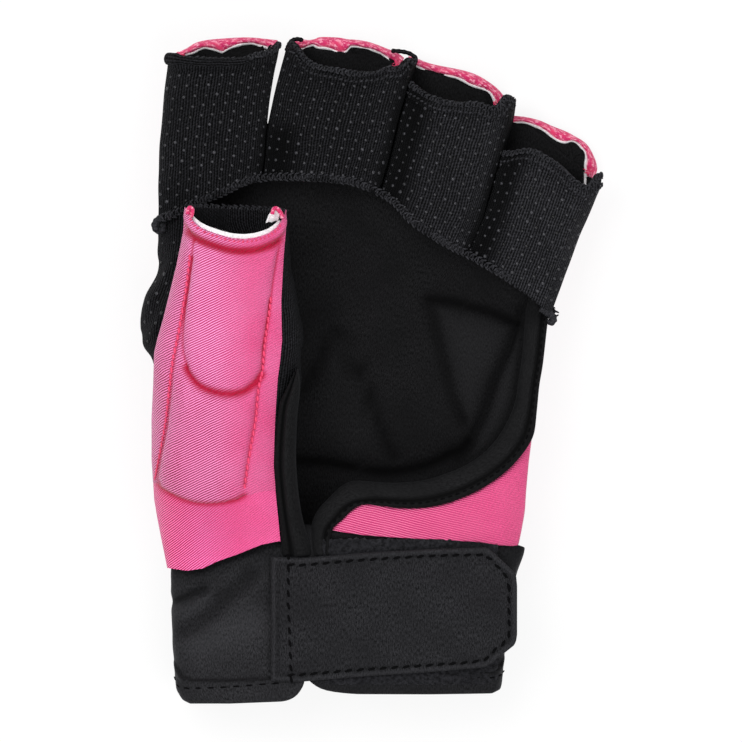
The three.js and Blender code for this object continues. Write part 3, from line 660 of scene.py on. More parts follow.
def plain(name, colour, roughness, specular=0.4, sheen=0.0, scale=1.5, tones=(0.82, 1.1)):
    """Foam, rubber or thread, mottled between two tones of its colour"""
    material, shader, w, _ = start_material(name, roughness, sheen, WHITE, specular)
    scaled = w.made("ShaderNodeVectorMath", w.made("ShaderNodeTexCoord").outputs["Object"], operation="SCALE")
    scaled.inputs["Scale"].default_value = 1 / MM
    fuzz = use_group(w, "fuzz", Place=scaled.outputs[0], Scale=scale)
    spot = w.spread(fuzz["Fibre"], 0.36, 0.64)
    w.links.new(w.mix(spot, *(shade(colour, tone) for tone in tones)), shader.inputs["Base Color"])
    add_bump(w, shader, fuzz["Fibre"], 0.05, 0.5)
    return material


class GLOVE_OT_materials(bpy.types.Operator):
    """Makes the cloths, foam, silicone and threads"""

    bl_idname = "glove.materials"
    bl_label = "Cloths and threads"

    def execute(self, context):
        colours = context.scene.glove_colours
        groups["ribs"] = make_rib_group()
        groups["fuzz"] = make_fuzz_group()
        groups["scatter"] = make_scatter_nodes()
        materials["twill"] = twill("Pink twill", 26, (-42, -32), strong_shading=((-47.5, -51), (2, -12)))
        # Painted light: the root's twill is tinted lighter and redder than the twill above it, standing in
        # for light on its slope that falls away from the lamps
        materials["root_twill"] = twill(
            "Pink twill at the thumb's root", 37, (-47, -35), 0.95, 0.9,
            strong_shading=((-44, -54), NOWHERE), tint=(1.3, 0.76, 0.94), flat_tint=(1.37, 1.22, 1.25),
        )
        materials["back_twill"] = twill("Pink twill on the back", 26, NOWHERE, 0.8, tint=(1, 0.8, 0.9))
        materials["heel_twill"] = twill(
            "Pink twill on the heel", -14, (8, 40), 0.95, ridge=colours.heel_twill, tint=(1.04, 1.25, 1.15)
        )
        materials["cut_twill"] = frayed("Cut edge of the twill")
        materials["knit"] = knit("Finger knit")
        loop_colour = shade(colours.knit, 1.9)[:3]
        for key, name, colour, *look in (
            ("lining", "Jersey lining", colours.lining, 0.85, 0.0, 0.95, (1.4, 0.5, 1), 0.1, 2.4),
            ("binding", "Stretch binding", colours.binding, 0.7, 0.03, 0.7, (1, 0.6, 1), 0.08, 2.0),
            ("cuff", "Cuff knit", colours.cuff, 0.62, 0.05, 1.15, (1.2, 0.5, 1), 0.14, 2.4),
            ("strap", "Brushed strap", colours.strap, 0.8, 0.03, 1.15, (1.3, 0.45, 1), 0.16, 2.4),
            ("loop", "Loop strip", loop_colour, 0.9, 0.1, 1.0, WHITE, 0.6, 0.9),
        ):
            materials[key] = plain_cloth(name, colour, *look)
        overlock_colour = shade(colours.knit, 3.4)[:3]
        materials["foam"] = plain("Foam", colours.foam, 0.8)
        materials["silicone"] = plain("Silicone", colours.silicone, 0.35, 0.3, scale=0.3, tones=(0.02, 2.6))
        materials["thread"] = plain("Dark thread", colours.thread, 0.8, 0.02)
        materials["overlock"] = plain("Overlock thread", overlock_colour, 0.7, 0.05, 0.02, tones=(0.25, 1.6))
        materials["pink_thread"] = plain("Pink thread", colours.pink_thread, 0.5)
        return {"FINISHED"}


def make_scatter_nodes():
    """One small shape on each place of a mesh, turned to the place's own heading and facing"""
    tree = bpy.data.node_groups.new("Sewn shapes", "GeometryNodeTree")
    face = tree.interface
    face.new_socket("Geometry", in_out="INPUT", socket_type="NodeSocketGeometry")
    for name in ("Length", "Width", "Height"):
        face.new_socket(name, in_out="INPUT", socket_type="NodeSocketFloat")
    face.new_socket("Material", in_out="INPUT", socket_type="NodeSocketMaterial")
    face.new_socket("Geometry", in_out="OUTPUT", socket_type="NodeSocketGeometry")
    nodes, links = tree.nodes, tree.links
    given, result = nodes.new("NodeGroupInput"), nodes.new("NodeGroupOutput")
    ball = nodes.new("GeometryNodeMeshUVSphere")
    ball.inputs["Segments"].default_value = 8
    ball.inputs["Rings"].default_value = 5
    ball.inputs["Radius"].default_value = 0.5
    size = nodes.new("ShaderNodeCombineXYZ")
    for name, socket in zip(("Length", "Width", "Height"), size.inputs):
        links.new(given.outputs[name], socket)
    shape = nodes.new("GeometryNodeTransform")
    links.new(ball.outputs["Mesh"], shape.inputs["Geometry"])
    links.new(size.outputs[0], shape.inputs["Scale"])
    turn = None
    for axis, attribute in (("X", "heading"), ("Z", "facing")):
        named = nodes.new("GeometryNodeInputNamedAttribute")
        named.data_type = "FLOAT_VECTOR"
        named.inputs["Name"].default_value = attribute
        align = nodes.new("FunctionNodeAlignRotationToVector")
        align.axis = axis
        align.pivot_axis = "AUTO" if turn is None else "X"
        if turn is not None:
            links.new(turn, align.inputs["Rotation"])
        links.new(named.outputs["Attribute"], align.inputs["Vector"])
        turn = align.outputs[0]
    grade = nodes.new("GeometryNodeInputNamedAttribute")
    grade.data_type = "FLOAT"
    grade.inputs["Name"].default_value = "grade"
    place = nodes.new("GeometryNodeInstanceOnPoints")
    links.new(given.outputs["Geometry"], place.inputs["Points"])
    links.new(shape.outputs[0], place.inputs["Instance"])
    links.new(turn, place.inputs["Rotation"])
    links.new(grade.outputs["Attribute"], place.inputs["Scale"])
    real = nodes.new("GeometryNodeRealizeInstances")
    links.new(place.outputs[0], real.inputs[0])
    smooth = nodes.new("GeometryNodeSetShadeSmooth")
    links.new(real.outputs[0], smooth.inputs[0])
    finish = nodes.new("GeometryNodeSetMaterial")
    links.new(smooth.outputs[0], finish.inputs["Geometry"])
    links.new(given.outputs["Material"], finish.inputs["Material"])
    links.new(finish.outputs[0], result.inputs["Geometry"])
    return tree


def scatter(name, places, headings, facings, size, material, grades=None):
    """Small rounded shapes of one size, in mm, laid on the given places by Geometry Nodes"""
    mesh = bpy.data.meshes.new(name)
    mesh.from_pydata([tuple(place) for place in np.asarray(places) * MM], [], [])
    for attribute, rows in (("heading", headings), ("facing", facings)):
        layer = mesh.attributes.new(attribute, "FLOAT_VECTOR", "POINT")
        layer.data.foreach_set("vector", np.ascontiguousarray(rows, np.float32).ravel())
    layer = mesh.attributes.new("grade", "FLOAT", "POINT")
    grades = np.ones(len(places)) if grades is None else grades
    layer.data.foreach_set("value", np.ascontiguousarray(grades, np.float32))
    piece = bpy.data.objects.new(name, mesh)
    bpy.context.scene.collection.objects.link(piece)
    layout = piece.modifiers.new("Sewn shapes", "NODES")
    layout.node_group = groups["scatter"]
    items = groups["scatter"].interface.items_tree
    inputs = {item.name: item.identifier for item in items if item.in_out == "INPUT"}
    for socket, value in zip(("Length", "Width", "Height"), size):
        layout[inputs[socket]] = value * MM
    layout[inputs["Material"]] = materials[material]
    bake(piece)
    return piece


class Surface:
    """A grid of places that other pieces are laid on: finds the height and the facing over any plan place"""

    def __init__(self, grid):
        places, facings = grid.reshape(-1, 3), surface_normals(grid).reshape(-1, 3)
        up = facings[:, 2] > 0.05
        self.places, self.facings = places[up], facings[up]

    def at(self, points, lift):
        """Places and facings on the surface over plan places; the height follows the slope to each"""
        out, facing = [], []
        for point in points[:, :2]:
            gap = ((self.places[:, :2] - point) ** 2).sum(1)
            near = np.argpartition(gap, 4)[:4]
            weight = 1 / (gap[near] + 0.01)
            weight /= weight.sum()
            normal = unit((self.facings[near] * weight[:, None]).sum(0))
            slope = -normal[:2] / max(normal[2], 0.3)
            height = ((self.places[near, 2] + (point - self.places[near, :2]) @ slope) * weight).sum()
            out.append([*point, height])
            facing.append(normal)
        facing = np.array(facing)
        return np.array(out) + facing * lift, facing


# Each seam's stitches in mm: length, distance from one to the next, thread width and height, and then their
# slant in degrees
STITCHES = {
    "strap": (2.2, 2.96, 0.78, 0.4, 12),
    "cuff": (2.0, 3.0, 0.45, 0.35, 0),
    "finger_hem": (1.1, 1.3, 0.6, 0.5, 20),
    "heel_binding": (1.3, 2.0, 0.5, 0.4, 0),
    "thumb_binding": (1.6, 2.6, 0.3, 0.25, 0),
    "thumb_pad": (1.9, 1.75, 0.72, 0.45, 14),
    "thumb_edge": (0.9, 1.15, 0.4, 0.4, 60),
}
STITCH_LIFT = 0.05


def stitch_row(name, seam, path, facing, thread="thread"):
    """A row of stitches along a path of places"""
    length, pitch, width, height, slant = STITCHES[seam]
    both = even(np.concatenate([path, facing], 1), max(int(length_of(path) / pitch), 2))
    places, facings = both[:, :3], unit(both[:, 3:])
    headings = unit(np.gradient(places, axis=0))
    if slant:
        turn = math.radians(slant)
        headings = headings * math.cos(turn) + np.cross(facings, headings) * math.sin(turn)
    return scatter(name, places + facings * STITCH_LIFT, headings, facings, (length, width, height), thread)


def overlocked(name, path, facing, share=1.0, lift=0.0):
    """Overlocked edge: a chain of slanted loops along both sides of the edge, tied across between them;
    share is its width against the usual one"""
    sizes = bpy.context.scene.glove_sizes
    width, pitch = sizes.overlock_width * share, sizes.overlock_pitch
    both = even(np.concatenate([path, facing], 1), max(int(length_of(path) / pitch), 3))
    places, up = both[:, :3], unit(both[:, 3:])
    along = unit(np.gradient(places, axis=0))
    across = np.cross(up, along)
    rows = (
        (across * width * 0.4, along + across * 0.42),
        (across * width * -0.4, along - across * 0.42),
        (along * pitch * 0.5, across + along * 0.3),
        (along * pitch * -0.05, across - along * 0.25),
    )
    chance = np.random.default_rng(len(places))
    on = np.concatenate([places + shift for shift, _ in rows])
    on += chance.normal(0, 0.06, on.shape)
    headings = np.concatenate([heading for _, heading in rows])
    ups = np.tile(up, (len(rows), 1))
    return scatter(name, on + ups * lift, headings, ups, (pitch * 1.15, 0.56, 0.66), "overlock")


# Over y, in mm: x of the hand's two sides, the height of its palm side and of its two side seams
HAND_LEFT = table([
    (-90, -50.2), (-86, -52.1), (-75.2, -53.2), (-61.7, -53.7), (-53.1, -54), (-47, -55.6), (-37.6, -57.7),
    (-24.1, -58.9), (-10.6, -58.9), (2.9, -58.6), (18.9, -57.7), (34.9, -57.2), (54, -57.1),
])
HAND_RIGHT = table([
    (-90, 34.6), (-80.1, 35.6), (-67.1, 37.4), (-54.2, 39.1), (-47.2, 40.4), (-37.6, 42.3), (-24.1, 43.5),
    (-10.6, 45.1), (-2.5, 45.6), (11.2, 47.2), (16, 48.8), (22.1, 51.3), (30.2, 55.6),
])
HAND_TOP = table([(-90, 24.5), (-46.8, 24.5), (-37.8, 26), (-25.2, 26), (0, 21.5), (18, 20.7)])
LEFT_RIM = table([(-90, 13), (-54, 13), (-45, 15.4), (-9, 15.4), (0, 10.5), (32.4, 10.5), (41.4, 12)])
RIGHT_RIM = table([(-90, 13), (-54, 13), (-43.2, 18.5), (7.2, 18.5), (21.6, 12)])
# Height of the hand's back, and how square its girth is on the palm side and at the back
HAND_FLOOR = 3.5
PALM_SQUARENESS = 3.2
BACK_SQUARENESS = 6.0


def hand_place(degrees, y, inset=0.0, back_square=BACK_SQUARENESS):
    """Place on the hand's girth: 0 degrees is the palm, 90 the little finger's side, 180 the back"""
    degrees, y, inset = np.broadcast_arrays(*(np.asarray(value, float) for value in (degrees, y, inset)))
    sine, cosine = np.sin(np.radians(degrees)), np.cos(np.radians(degrees))
    left, right = HAND_LEFT(y), HAND_RIGHT(y)
    rim = np.where(sine < 0, LEFT_RIM(y), RIGHT_RIM(y))
    square = np.where(cosine > 0, PALM_SQUARENESS, back_square)
    reach = np.where(cosine > 0, HAND_TOP(y) - inset - rim, rim - HAND_FLOOR - inset)
    x = (left + right) / 2 + ((right - left) / 2 - inset) * rounded(sine, square)
    return np.stack([x, y, rim + reach * rounded(cosine, square)], -1)


def side_share(x, left, right):
    """Share of the way from the middle to a side: -1 at the left, 1 at the right"""
    return (2 * x - left - right) / (right - left)


def palm_height(x, y):
    """Height of the palm side over a plan place"""
    share = np.clip(side_share(x, HAND_LEFT(y), HAND_RIGHT(y)), -1, 1)
    rim = np.where(share < 0, LEFT_RIM(y), RIGHT_RIM(y))
    return rim + (HAND_TOP(y) - rim) * (1 - np.abs(share) ** PALM_SQUARENESS) ** (1 / PALM_SQUARENESS)


# Root creases of the fingers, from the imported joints, and each finger's lean in degrees
CREASE = {
    joint["child"].removesuffix("_finger"): np.array(joint["pos_m"][:2]) / MM
    for joint in frame["joints"]
    if joint["child"].endswith("_finger")
}
LEAN = {"index": 3, "middle": 7.6, "ring": 11.3, "little": 17}


# Each finger in pixels: pairs of left and right places from under the palm's edge to the tip, then the edge
# of the knit and the edge of the twill back
FINGERS = {
    "index": {
        "sides": [
            ((157, 270), (250, 240)), ((157.6, 238), (256, 212)), ((158, 211), (261, 186)),
            ((158.6, 161), (264.7, 150)), ((161.6, 119.5), (267.4, 121)), ((164.5, 85), (272.7, 81)),
            ((167, 64), (277.3, 58)), ((168.5, 52), (281, 40)),
        ],
        "knit": [
            (160, 58), (166, 56), (175, 56), (210, 57.5), (246, 58.5), (252, 54), (262, 51.5), (272, 50),
            (277, 45), (281, 41),
        ],
        "twill": [
            (160, 62), (168, 58), (178, 52), (186, 47), (198, 42.5), (210, 39.5), (223, 37.5), (240, 37),
            (256, 37.5), (270, 38.5), (284, 40),
        ],
    },
    "middle": {
        "sides": [
            ((251, 240), (365, 250)), ((257, 212), (372, 218)), ((262, 186), (379, 192)),
            ((265.3, 150), (388, 162)), ((268.3, 121), (396, 130)), ((276, 86), (405, 96)),
            ((283, 58), (412, 70)), ((288.5, 38), (418, 55)),
        ],
        "knit": [
            (280, 52), (286, 43), (289, 40), (293, 41), (298, 48), (304, 56), (312.5, 62), (322, 66.5),
            (338, 69), (355.6, 71), (366, 72.3), (377, 72.5), (384, 68), (389, 66), (397, 67), (404, 65),
            (410, 58), (418, 60),
        ],
        "twill": [
            (282, 46), (290, 40), (297, 37.5), (306, 37), (319, 36.3), (333, 36), (347, 36.5), (362, 38.5),
            (375, 42), (388, 47), (400, 51.5), (411, 56), (422, 61),
        ],
    },
    "ring": {
        "sides": [
            ((366, 251), (450, 292)), ((373, 219), (462, 268)), ((380, 193), (471, 246)),
            ((388.5, 163), (482, 222)), ((396.5, 131), (491, 190)), ((405.5, 97), (502, 152)),
            ((412, 72), (510.5, 122)), ((416, 57), (514.5, 98)),
        ],
        "knit": [
            (408, 78), (416.5, 86), (422, 90.5), (430, 95), (446, 100), (463, 103), (472, 101), (480, 102),
            (489, 106), (497, 106), (502, 99), (506, 93.5), (511, 93), (518, 99),
        ],
        "twill": [
            (406, 57), (415, 60), (430, 64), (446, 68), (463, 72.5), (479.5, 78), (489, 84), (496, 91),
            (502, 99), (508, 108), (516, 120),
        ],
    },
    "little": {
        "sides": [
            ((446, 296), (545, 345)), ((457, 275), (549, 328)), ((468, 250), (553, 309)),
            ((480, 222), (563, 282)), ((490, 193), (578, 242)), ((500, 158), (592.5, 207)),
            ((508, 128), (601, 184)), ((512, 110), (602, 170)),
        ],
        "knit": [
            (500, 150), (512, 152), (520, 150), (529, 148.5), (539, 151), (551, 158), (562, 166),
            (571, 175), (579, 182), (587, 186.5), (593, 182), (597, 175), (601, 172.5), (606, 178),
        ],
        "twill": [
            (503, 112), (514, 115.5), (530, 119), (546, 124), (560, 129), (570.7, 134.5), (580, 141),
            (587, 148), (592.5, 156), (596, 165), (599, 178), (604, 195),
        ],
    },
}
# Heights of the fingers' palm side and of their side seams, under the palm panel and on the free finger
FINGER_TOP = 20.7
FINGER_RIM = (17.5, 13.0)
LEFT_SQUARENESS = 1.95
RIGHT_SQUARENESS = 2.9
FINGER_BACK_SQUARENESS = 4.0
# Between these heights in the photograph, the index and middle fingers part
INDEX_PARTS = plan([(0, 136), (0, 112)])[:, 1]


class Finger:
    """A finger's girth in the plan of the photograph: across by share, along by share"""

    def __init__(self, name):
        given = FINGERS[name]
        self.name = name
        self.body = f"{name}_finger"
        self.left, self.right = (smooth_line(plan(side), 90) for side in zip(*given["sides"]))
        self.knit_edge, self.twill_edge = level_of(given["knit"]), level_of(given["twill"])
        lean = math.radians(LEAN[name])
        self.axis = np.array([math.sin(lean), math.cos(lean)])
        self.side = np.array([self.axis[1], -self.axis[0]])
        self.crease = CREASE[name]
        # Places 7 mm before the crease and 5 mm past it, given to sew with the two bodies; the cloth is not
        # bent by them
        start, end = self.crease - self.axis * 7, self.crease + self.axis * 5
        self.bend = ("hand", self.body, (*start, 0), (*end, 0))

    def column(self, share):
        part = (np.asarray(share, float) + 1) / 2
        return self.left * (1 - part) + self.right * part

    def meet(self, share, edge):
        """Row share at which a column crosses an edge"""
        line = self.column(share)
        gap = line[:, 1] - edge(line[:, 0])
        past = np.nonzero(gap > 0)[0]
        if not len(past):
            return 1.0
        first = past[0]
        if first == 0:
            return 0.0
        part = -gap[first - 1] / (gap[first] - gap[first - 1])
        return (first - 1 + part) / (len(line) - 1)

    def plan_place(self, share, row):
        """Plan place at a share across and a share along, past the tip by straight lines"""
        line = self.column(share)
        at = row * (len(line) - 1)
        index = int(np.clip(math.floor(at), 0, len(line) - 2))
        return line[index] + (line[index + 1] - line[index]) * (at - index)

    def past_crease(self, place):
        return (place - self.crease) @ self.axis

    def shared(self, side, place):
        """1 on a side that touches the next finger's, 0 on a free one"""
        if (self.name, side) in (("index", -1), ("little", 1)):
            return 0.0
        if (self.name, side) in (("index", 1), ("middle", -1)):
            return float(1 - ease(*INDEX_PARTS, place[1]))
        return 1.0

    def rim(self, reach):
        """Height of the finger's side seams, which sink from the palm panel to the free finger"""
        low, free = FINGER_RIM
        return low - (low - free) * ease(-14, 10, reach)


# The overlocked edge of the palm opening, in pixels
PALM_EDGE = [
    (150, 236), (155, 234), (165, 226), (178, 216), (190, 209.5), (207, 202.5), (224, 196), (241, 187.5),
    (256, 182.5), (270, 180.8), (290, 180.5), (320, 181.5), (350, 185), (367, 191), (385, 200), (398, 211),
    (410, 224), (430, 238), (450, 250), (465, 257), (480, 265.5), (500, 277), (520, 290), (533, 300),
    (545, 310), (553, 315), (560, 317),
]
# Girth of a finger's knit in degrees: 0 is the palm side, and past 90 it tucks under its side walls
KNIT_ANGLES = np.concatenate([[-110, -98], np.linspace(-90, 90, 41), [98, 110]])
# The hem at the knit's edge, in mm from it: its rolled fold, the flat before it and its stitched groove
HEM_ROLL, HEM_FLAT, HEM_GROOVE = 2.5, 1.5, 3.9


def knit_grid(finger):
    """The palm side of a finger, from the palm's edge up to the edge of its knit, with its two side walls"""
    palm_edge = level_of(PALM_EDGE)
    parts = np.concatenate([np.linspace(0, 0.84, 26), np.linspace(0.855, 1, 22)])
    rows = len(parts)
    grid = np.zeros((rows, len(KNIT_ANGLES), 3))
    for c, degrees in enumerate(KNIT_ANGLES):
        turn = math.radians(max(min(degrees, 90), -90))
        square = LEFT_SQUARENESS if degrees < 0 and finger.name != "index" else RIGHT_SQUARENESS
        share = float(rounded(math.sin(turn), square))
        low, high = finger.meet(share, palm_edge), finger.meet(share, finger.knit_edge)
        under = max(abs(degrees) - 90, 0) / 20
        for r, part in enumerate(parts):
            place = finger.plan_place(share, low + (high - low) * part)
            rim = finger.rim(finger.past_crease(place))
            height = rim + (FINGER_TOP - rim) * abs(math.cos(turn)) ** (2 / square)
            if under:
                shared = finger.shared(np.sign(degrees), place)
                height -= (4.2 + 4.5 * shared) * under
                place = place + finger.side * np.sign(degrees) * under * (1.4 * shared - 0.5)
            grid[r, c] = (*place, height)
    soft = wrinkle(grid, 8.0, 0.9, seed=finger.crease[0]) + wrinkle(grid, 2.6, 0.12, seed=3.0)
    fade = np.clip(np.minimum(np.arange(rows), np.arange(rows)[::-1]) / 3, 0.25, 1)[:, None]
    away = distance_to(grid[-1, 3:-3, :2], grid)
    roll = 0.75 * np.sqrt(np.clip(1 - (away - HEM_ROLL) ** 2, 0, 1))
    hem = roll - 0.35 * (away < HEM_FLAT) - 0.3 * ridge(away, 0.5, HEM_GROOVE)
    hem = hem * (1 - ease(60, 88, np.abs(KNIT_ANGLES)))
    flank = 1 - 0.8 * ease(62, 88, np.abs(KNIT_ANGLES))
    return grid + surface_normals(grid) * (soft * fade * flank + hem)[..., None]


def knit_valley_shade(finger, grid):
    """Painted shade of the knit in the valleys between the fingers"""
    shares = np.sin(np.radians(np.clip(KNIT_ANGLES, -90, 90)))
    folds = np.zeros(grid.shape[:2])
    for r, c in np.ndindex(folds.shape):
        side = -1 if shares[c] < 0 else 1
        near = ease(0.3, 0.74, -shares[c]) if side < 0 else ease(0.7, 0.97, shares[c])
        folds[r, c] = 0.9 * near * finger.shared(side, grid[r, c])
    return folds


def back_grid(finger, inset, tip_gap, rows=18, low_reach=-9.0, cover=False):
    """The back of a finger as a trough, inset from the outside, from a reach before the crease to the twill's
    edge less a gap; its walls are low where two fingers meet, and a covering layer lies over them there"""
    angles = np.concatenate([[90, 96], np.linspace(104, 256, 25), [264, 270]])
    grid = np.zeros((rows, len(angles), 3))
    for c, degrees in enumerate(angles):
        turn = math.radians(degrees)
        share = float(rounded(math.sin(turn), FINGER_BACK_SQUARENESS))
        depth = abs(math.cos(turn)) ** (2 / FINGER_BACK_SQUARENESS)
        line = finger.column(share)
        start = np.interp(low_reach, finger.past_crease(line), np.linspace(0, 1, len(line)))
        end = finger.meet(share, finger.twill_edge) - tip_gap / 60
        for r in range(rows):
            place = finger.plan_place(share, start + (end - start) * r / (rows - 1))
            shared = finger.shared(np.sign(share), place)
            rim = HAND_FLOOR + (finger.rim(finger.past_crease(place)) - 3.0 - HAND_FLOOR) * (1 - 0.9 * shared)
            within = inset + 1.0 + 1.2 * (1 - depth)
            height = rim - (rim - HAND_FLOOR - inset) * depth
            if cover:
                within *= 1 - shared * ease(0.8, 1.0, abs(share))
                height = height * (1 - shared) + (HAND_FLOOR + inset) * shared
            grid[r, c] = (*(place - finger.side * share * within), height)
    return grid


# The bands of cut twill at the fingertips in pixels: their outline, and the line of white foam inside it
TIP_BANDS = {
    "index": (
        [
            (174, 55.5), (178, 52.4), (187.3, 47.7), (194.8, 43.1), (204.2, 40.3), (215.4, 38.9),
            (229.4, 37.9), (243.4, 37.3), (254.6, 37.7), (266.7, 38.9), (277, 40),
        ],
        [
            (178, 56), (182.7, 53.8), (193, 51), (198.5, 48.2), (204, 46.3), (210.7, 47.3), (217.2, 49.1),
            (221.4, 50.7), (225.6, 48.7), (231.2, 45.9), (238.7, 43.5), (246.2, 42.1), (252.7, 42.1),
            (259.2, 44), (265.8, 45.9), (271.4, 49.1), (276, 52),
        ],
    ),
    "middle": (
        [
            (291, 42), (295, 40), (301, 38.8), (309, 40), (315, 38.5), (320, 37), (335, 37.2), (350, 39),
            (365, 41), (375, 44), (383, 47), (392, 50.5), (399, 54), (404, 58),
        ],
        [
            (293, 46.5), (302, 47.3), (308, 45), (313, 43.5), (318, 46), (325, 46.5), (331, 48),
            (337, 50.5), (341, 51.5), (345, 50.5), (348, 47.5), (351, 45), (357, 45), (363, 46.5),
            (371, 48), (379, 51), (385, 54.5), (390, 59), (394, 63), (399, 66),
        ],
    ),
    "ring": (
        [
            (408, 56), (416.8, 58.4), (425.2, 61.9), (435, 64.7), (449, 67.5), (463, 70.3), (474.2, 73.8),
            (482.6, 78), (491, 83.6), (498, 89.2), (503.6, 96.2), (506, 102),
        ],
        [
            (409, 62), (414, 63.3), (421, 66.8), (430.8, 70.3), (442, 73.1), (453.2, 75.2), (461.6, 78),
            (470, 82.9), (477.7, 85.7), (484, 87.8), (491, 92), (495.2, 99), (498.5, 106),
        ],
    ),
    "little": (
        [
            (505, 114), (513.4, 115.8), (526, 117.2), (540, 120.7), (551.2, 125.6), (565.2, 131.2),
            (576.4, 136.8), (586.2, 143.8), (591.8, 152.2), (596, 162), (596.7, 170.4), (593.2, 178),
        ],
        [
            (505, 121.5), (512.7, 121.4), (520.4, 120.7), (528.8, 122.1), (538.6, 125.6), (547, 130.5),
            (552.6, 135.4), (558.2, 138.9), (565.2, 141), (572.2, 139.6), (577.8, 141.7), (582, 145.9),
            (586.2, 150.8), (587.6, 157.8), (586.9, 166.2), (588.3, 176),
        ],
    ),
}
# Folded corners of the knit that wrap the ends of the tip bands: places in pixels and height in mm
TIP_CORNERS = {
    "middle": [
        [(286.5, 50, 13), (289, 43.5, 11.5), (292.5, 39.6, 10.3), (298, 38.4, 9.4), (302.5, 39.6, 8.6)],
        [
            (392, 50, 7), (398, 50.4, 8.2), (405, 51.4, 9.5), (411, 53.6, 10.5), (416, 58, 11.5),
            (414, 62.5, 12.4), (408, 67, 13.6),
        ],
    ],
    "ring": [
        [
            (503.5, 99, 9.5), (506, 96.8, 10.5), (509.5, 96.4, 11.4), (512, 98.6, 12.4),
            (513.8, 101.5, 13.4), (513.8, 107, 14),
        ],
    ],
}
# The rolled hem of the index finger's knit, in pixels
INDEX_HEM = [
    (164.8, 58.3), (172, 58.8), (184, 60.8), (200, 62.4), (220, 63), (236, 62.8), (247, 61), (254, 57.5),
    (259, 53),
]
# Height of a tip band from the foam to the outside, by share of its width, and of the jersey inside it, in
# mm, by its distance from the foam
BAND_PARTS = np.array([0, 0.06, 0.2, 0.45, 0.7, 0.88, 1.0])
BAND_HEIGHTS = np.array([5.9, 6.5, 6.9, 6.9, 6.2, 5.2, 4.0])
LIP_DROPS = np.array([6.35, 3.55, 1.55, 0.35])
LIP_HEIGHTS = np.array([5.9, 6.0, 6.1, 6.3])
TIP_COUNT = 90


def thread_tuft(name, spots, height, each=6, spread=0.4):
    """Short loose ends of pink thread round some plan places"""
    chance = np.random.default_rng(len(name))
    count = len(spots) * each
    centre = np.repeat(spots, each, 0)
    places = centre + chance.normal(0, spread, (count, 2))
    places = with_height(places, chance.normal(height, 0.35, count))
    facing = np.tile((0.0, 0.0, 1.0), (count, 1)) + chance.normal(0, 0.4, (count, 3))
    heading = chance.normal(0, 1, (count, 3)) * (1, 1, 0.5)
    grades = chance.uniform(0.6, 1.2, count)
    return scatter(name, places, heading, facing, (1.3, 0.4, 0.35), "pink_thread", grades)


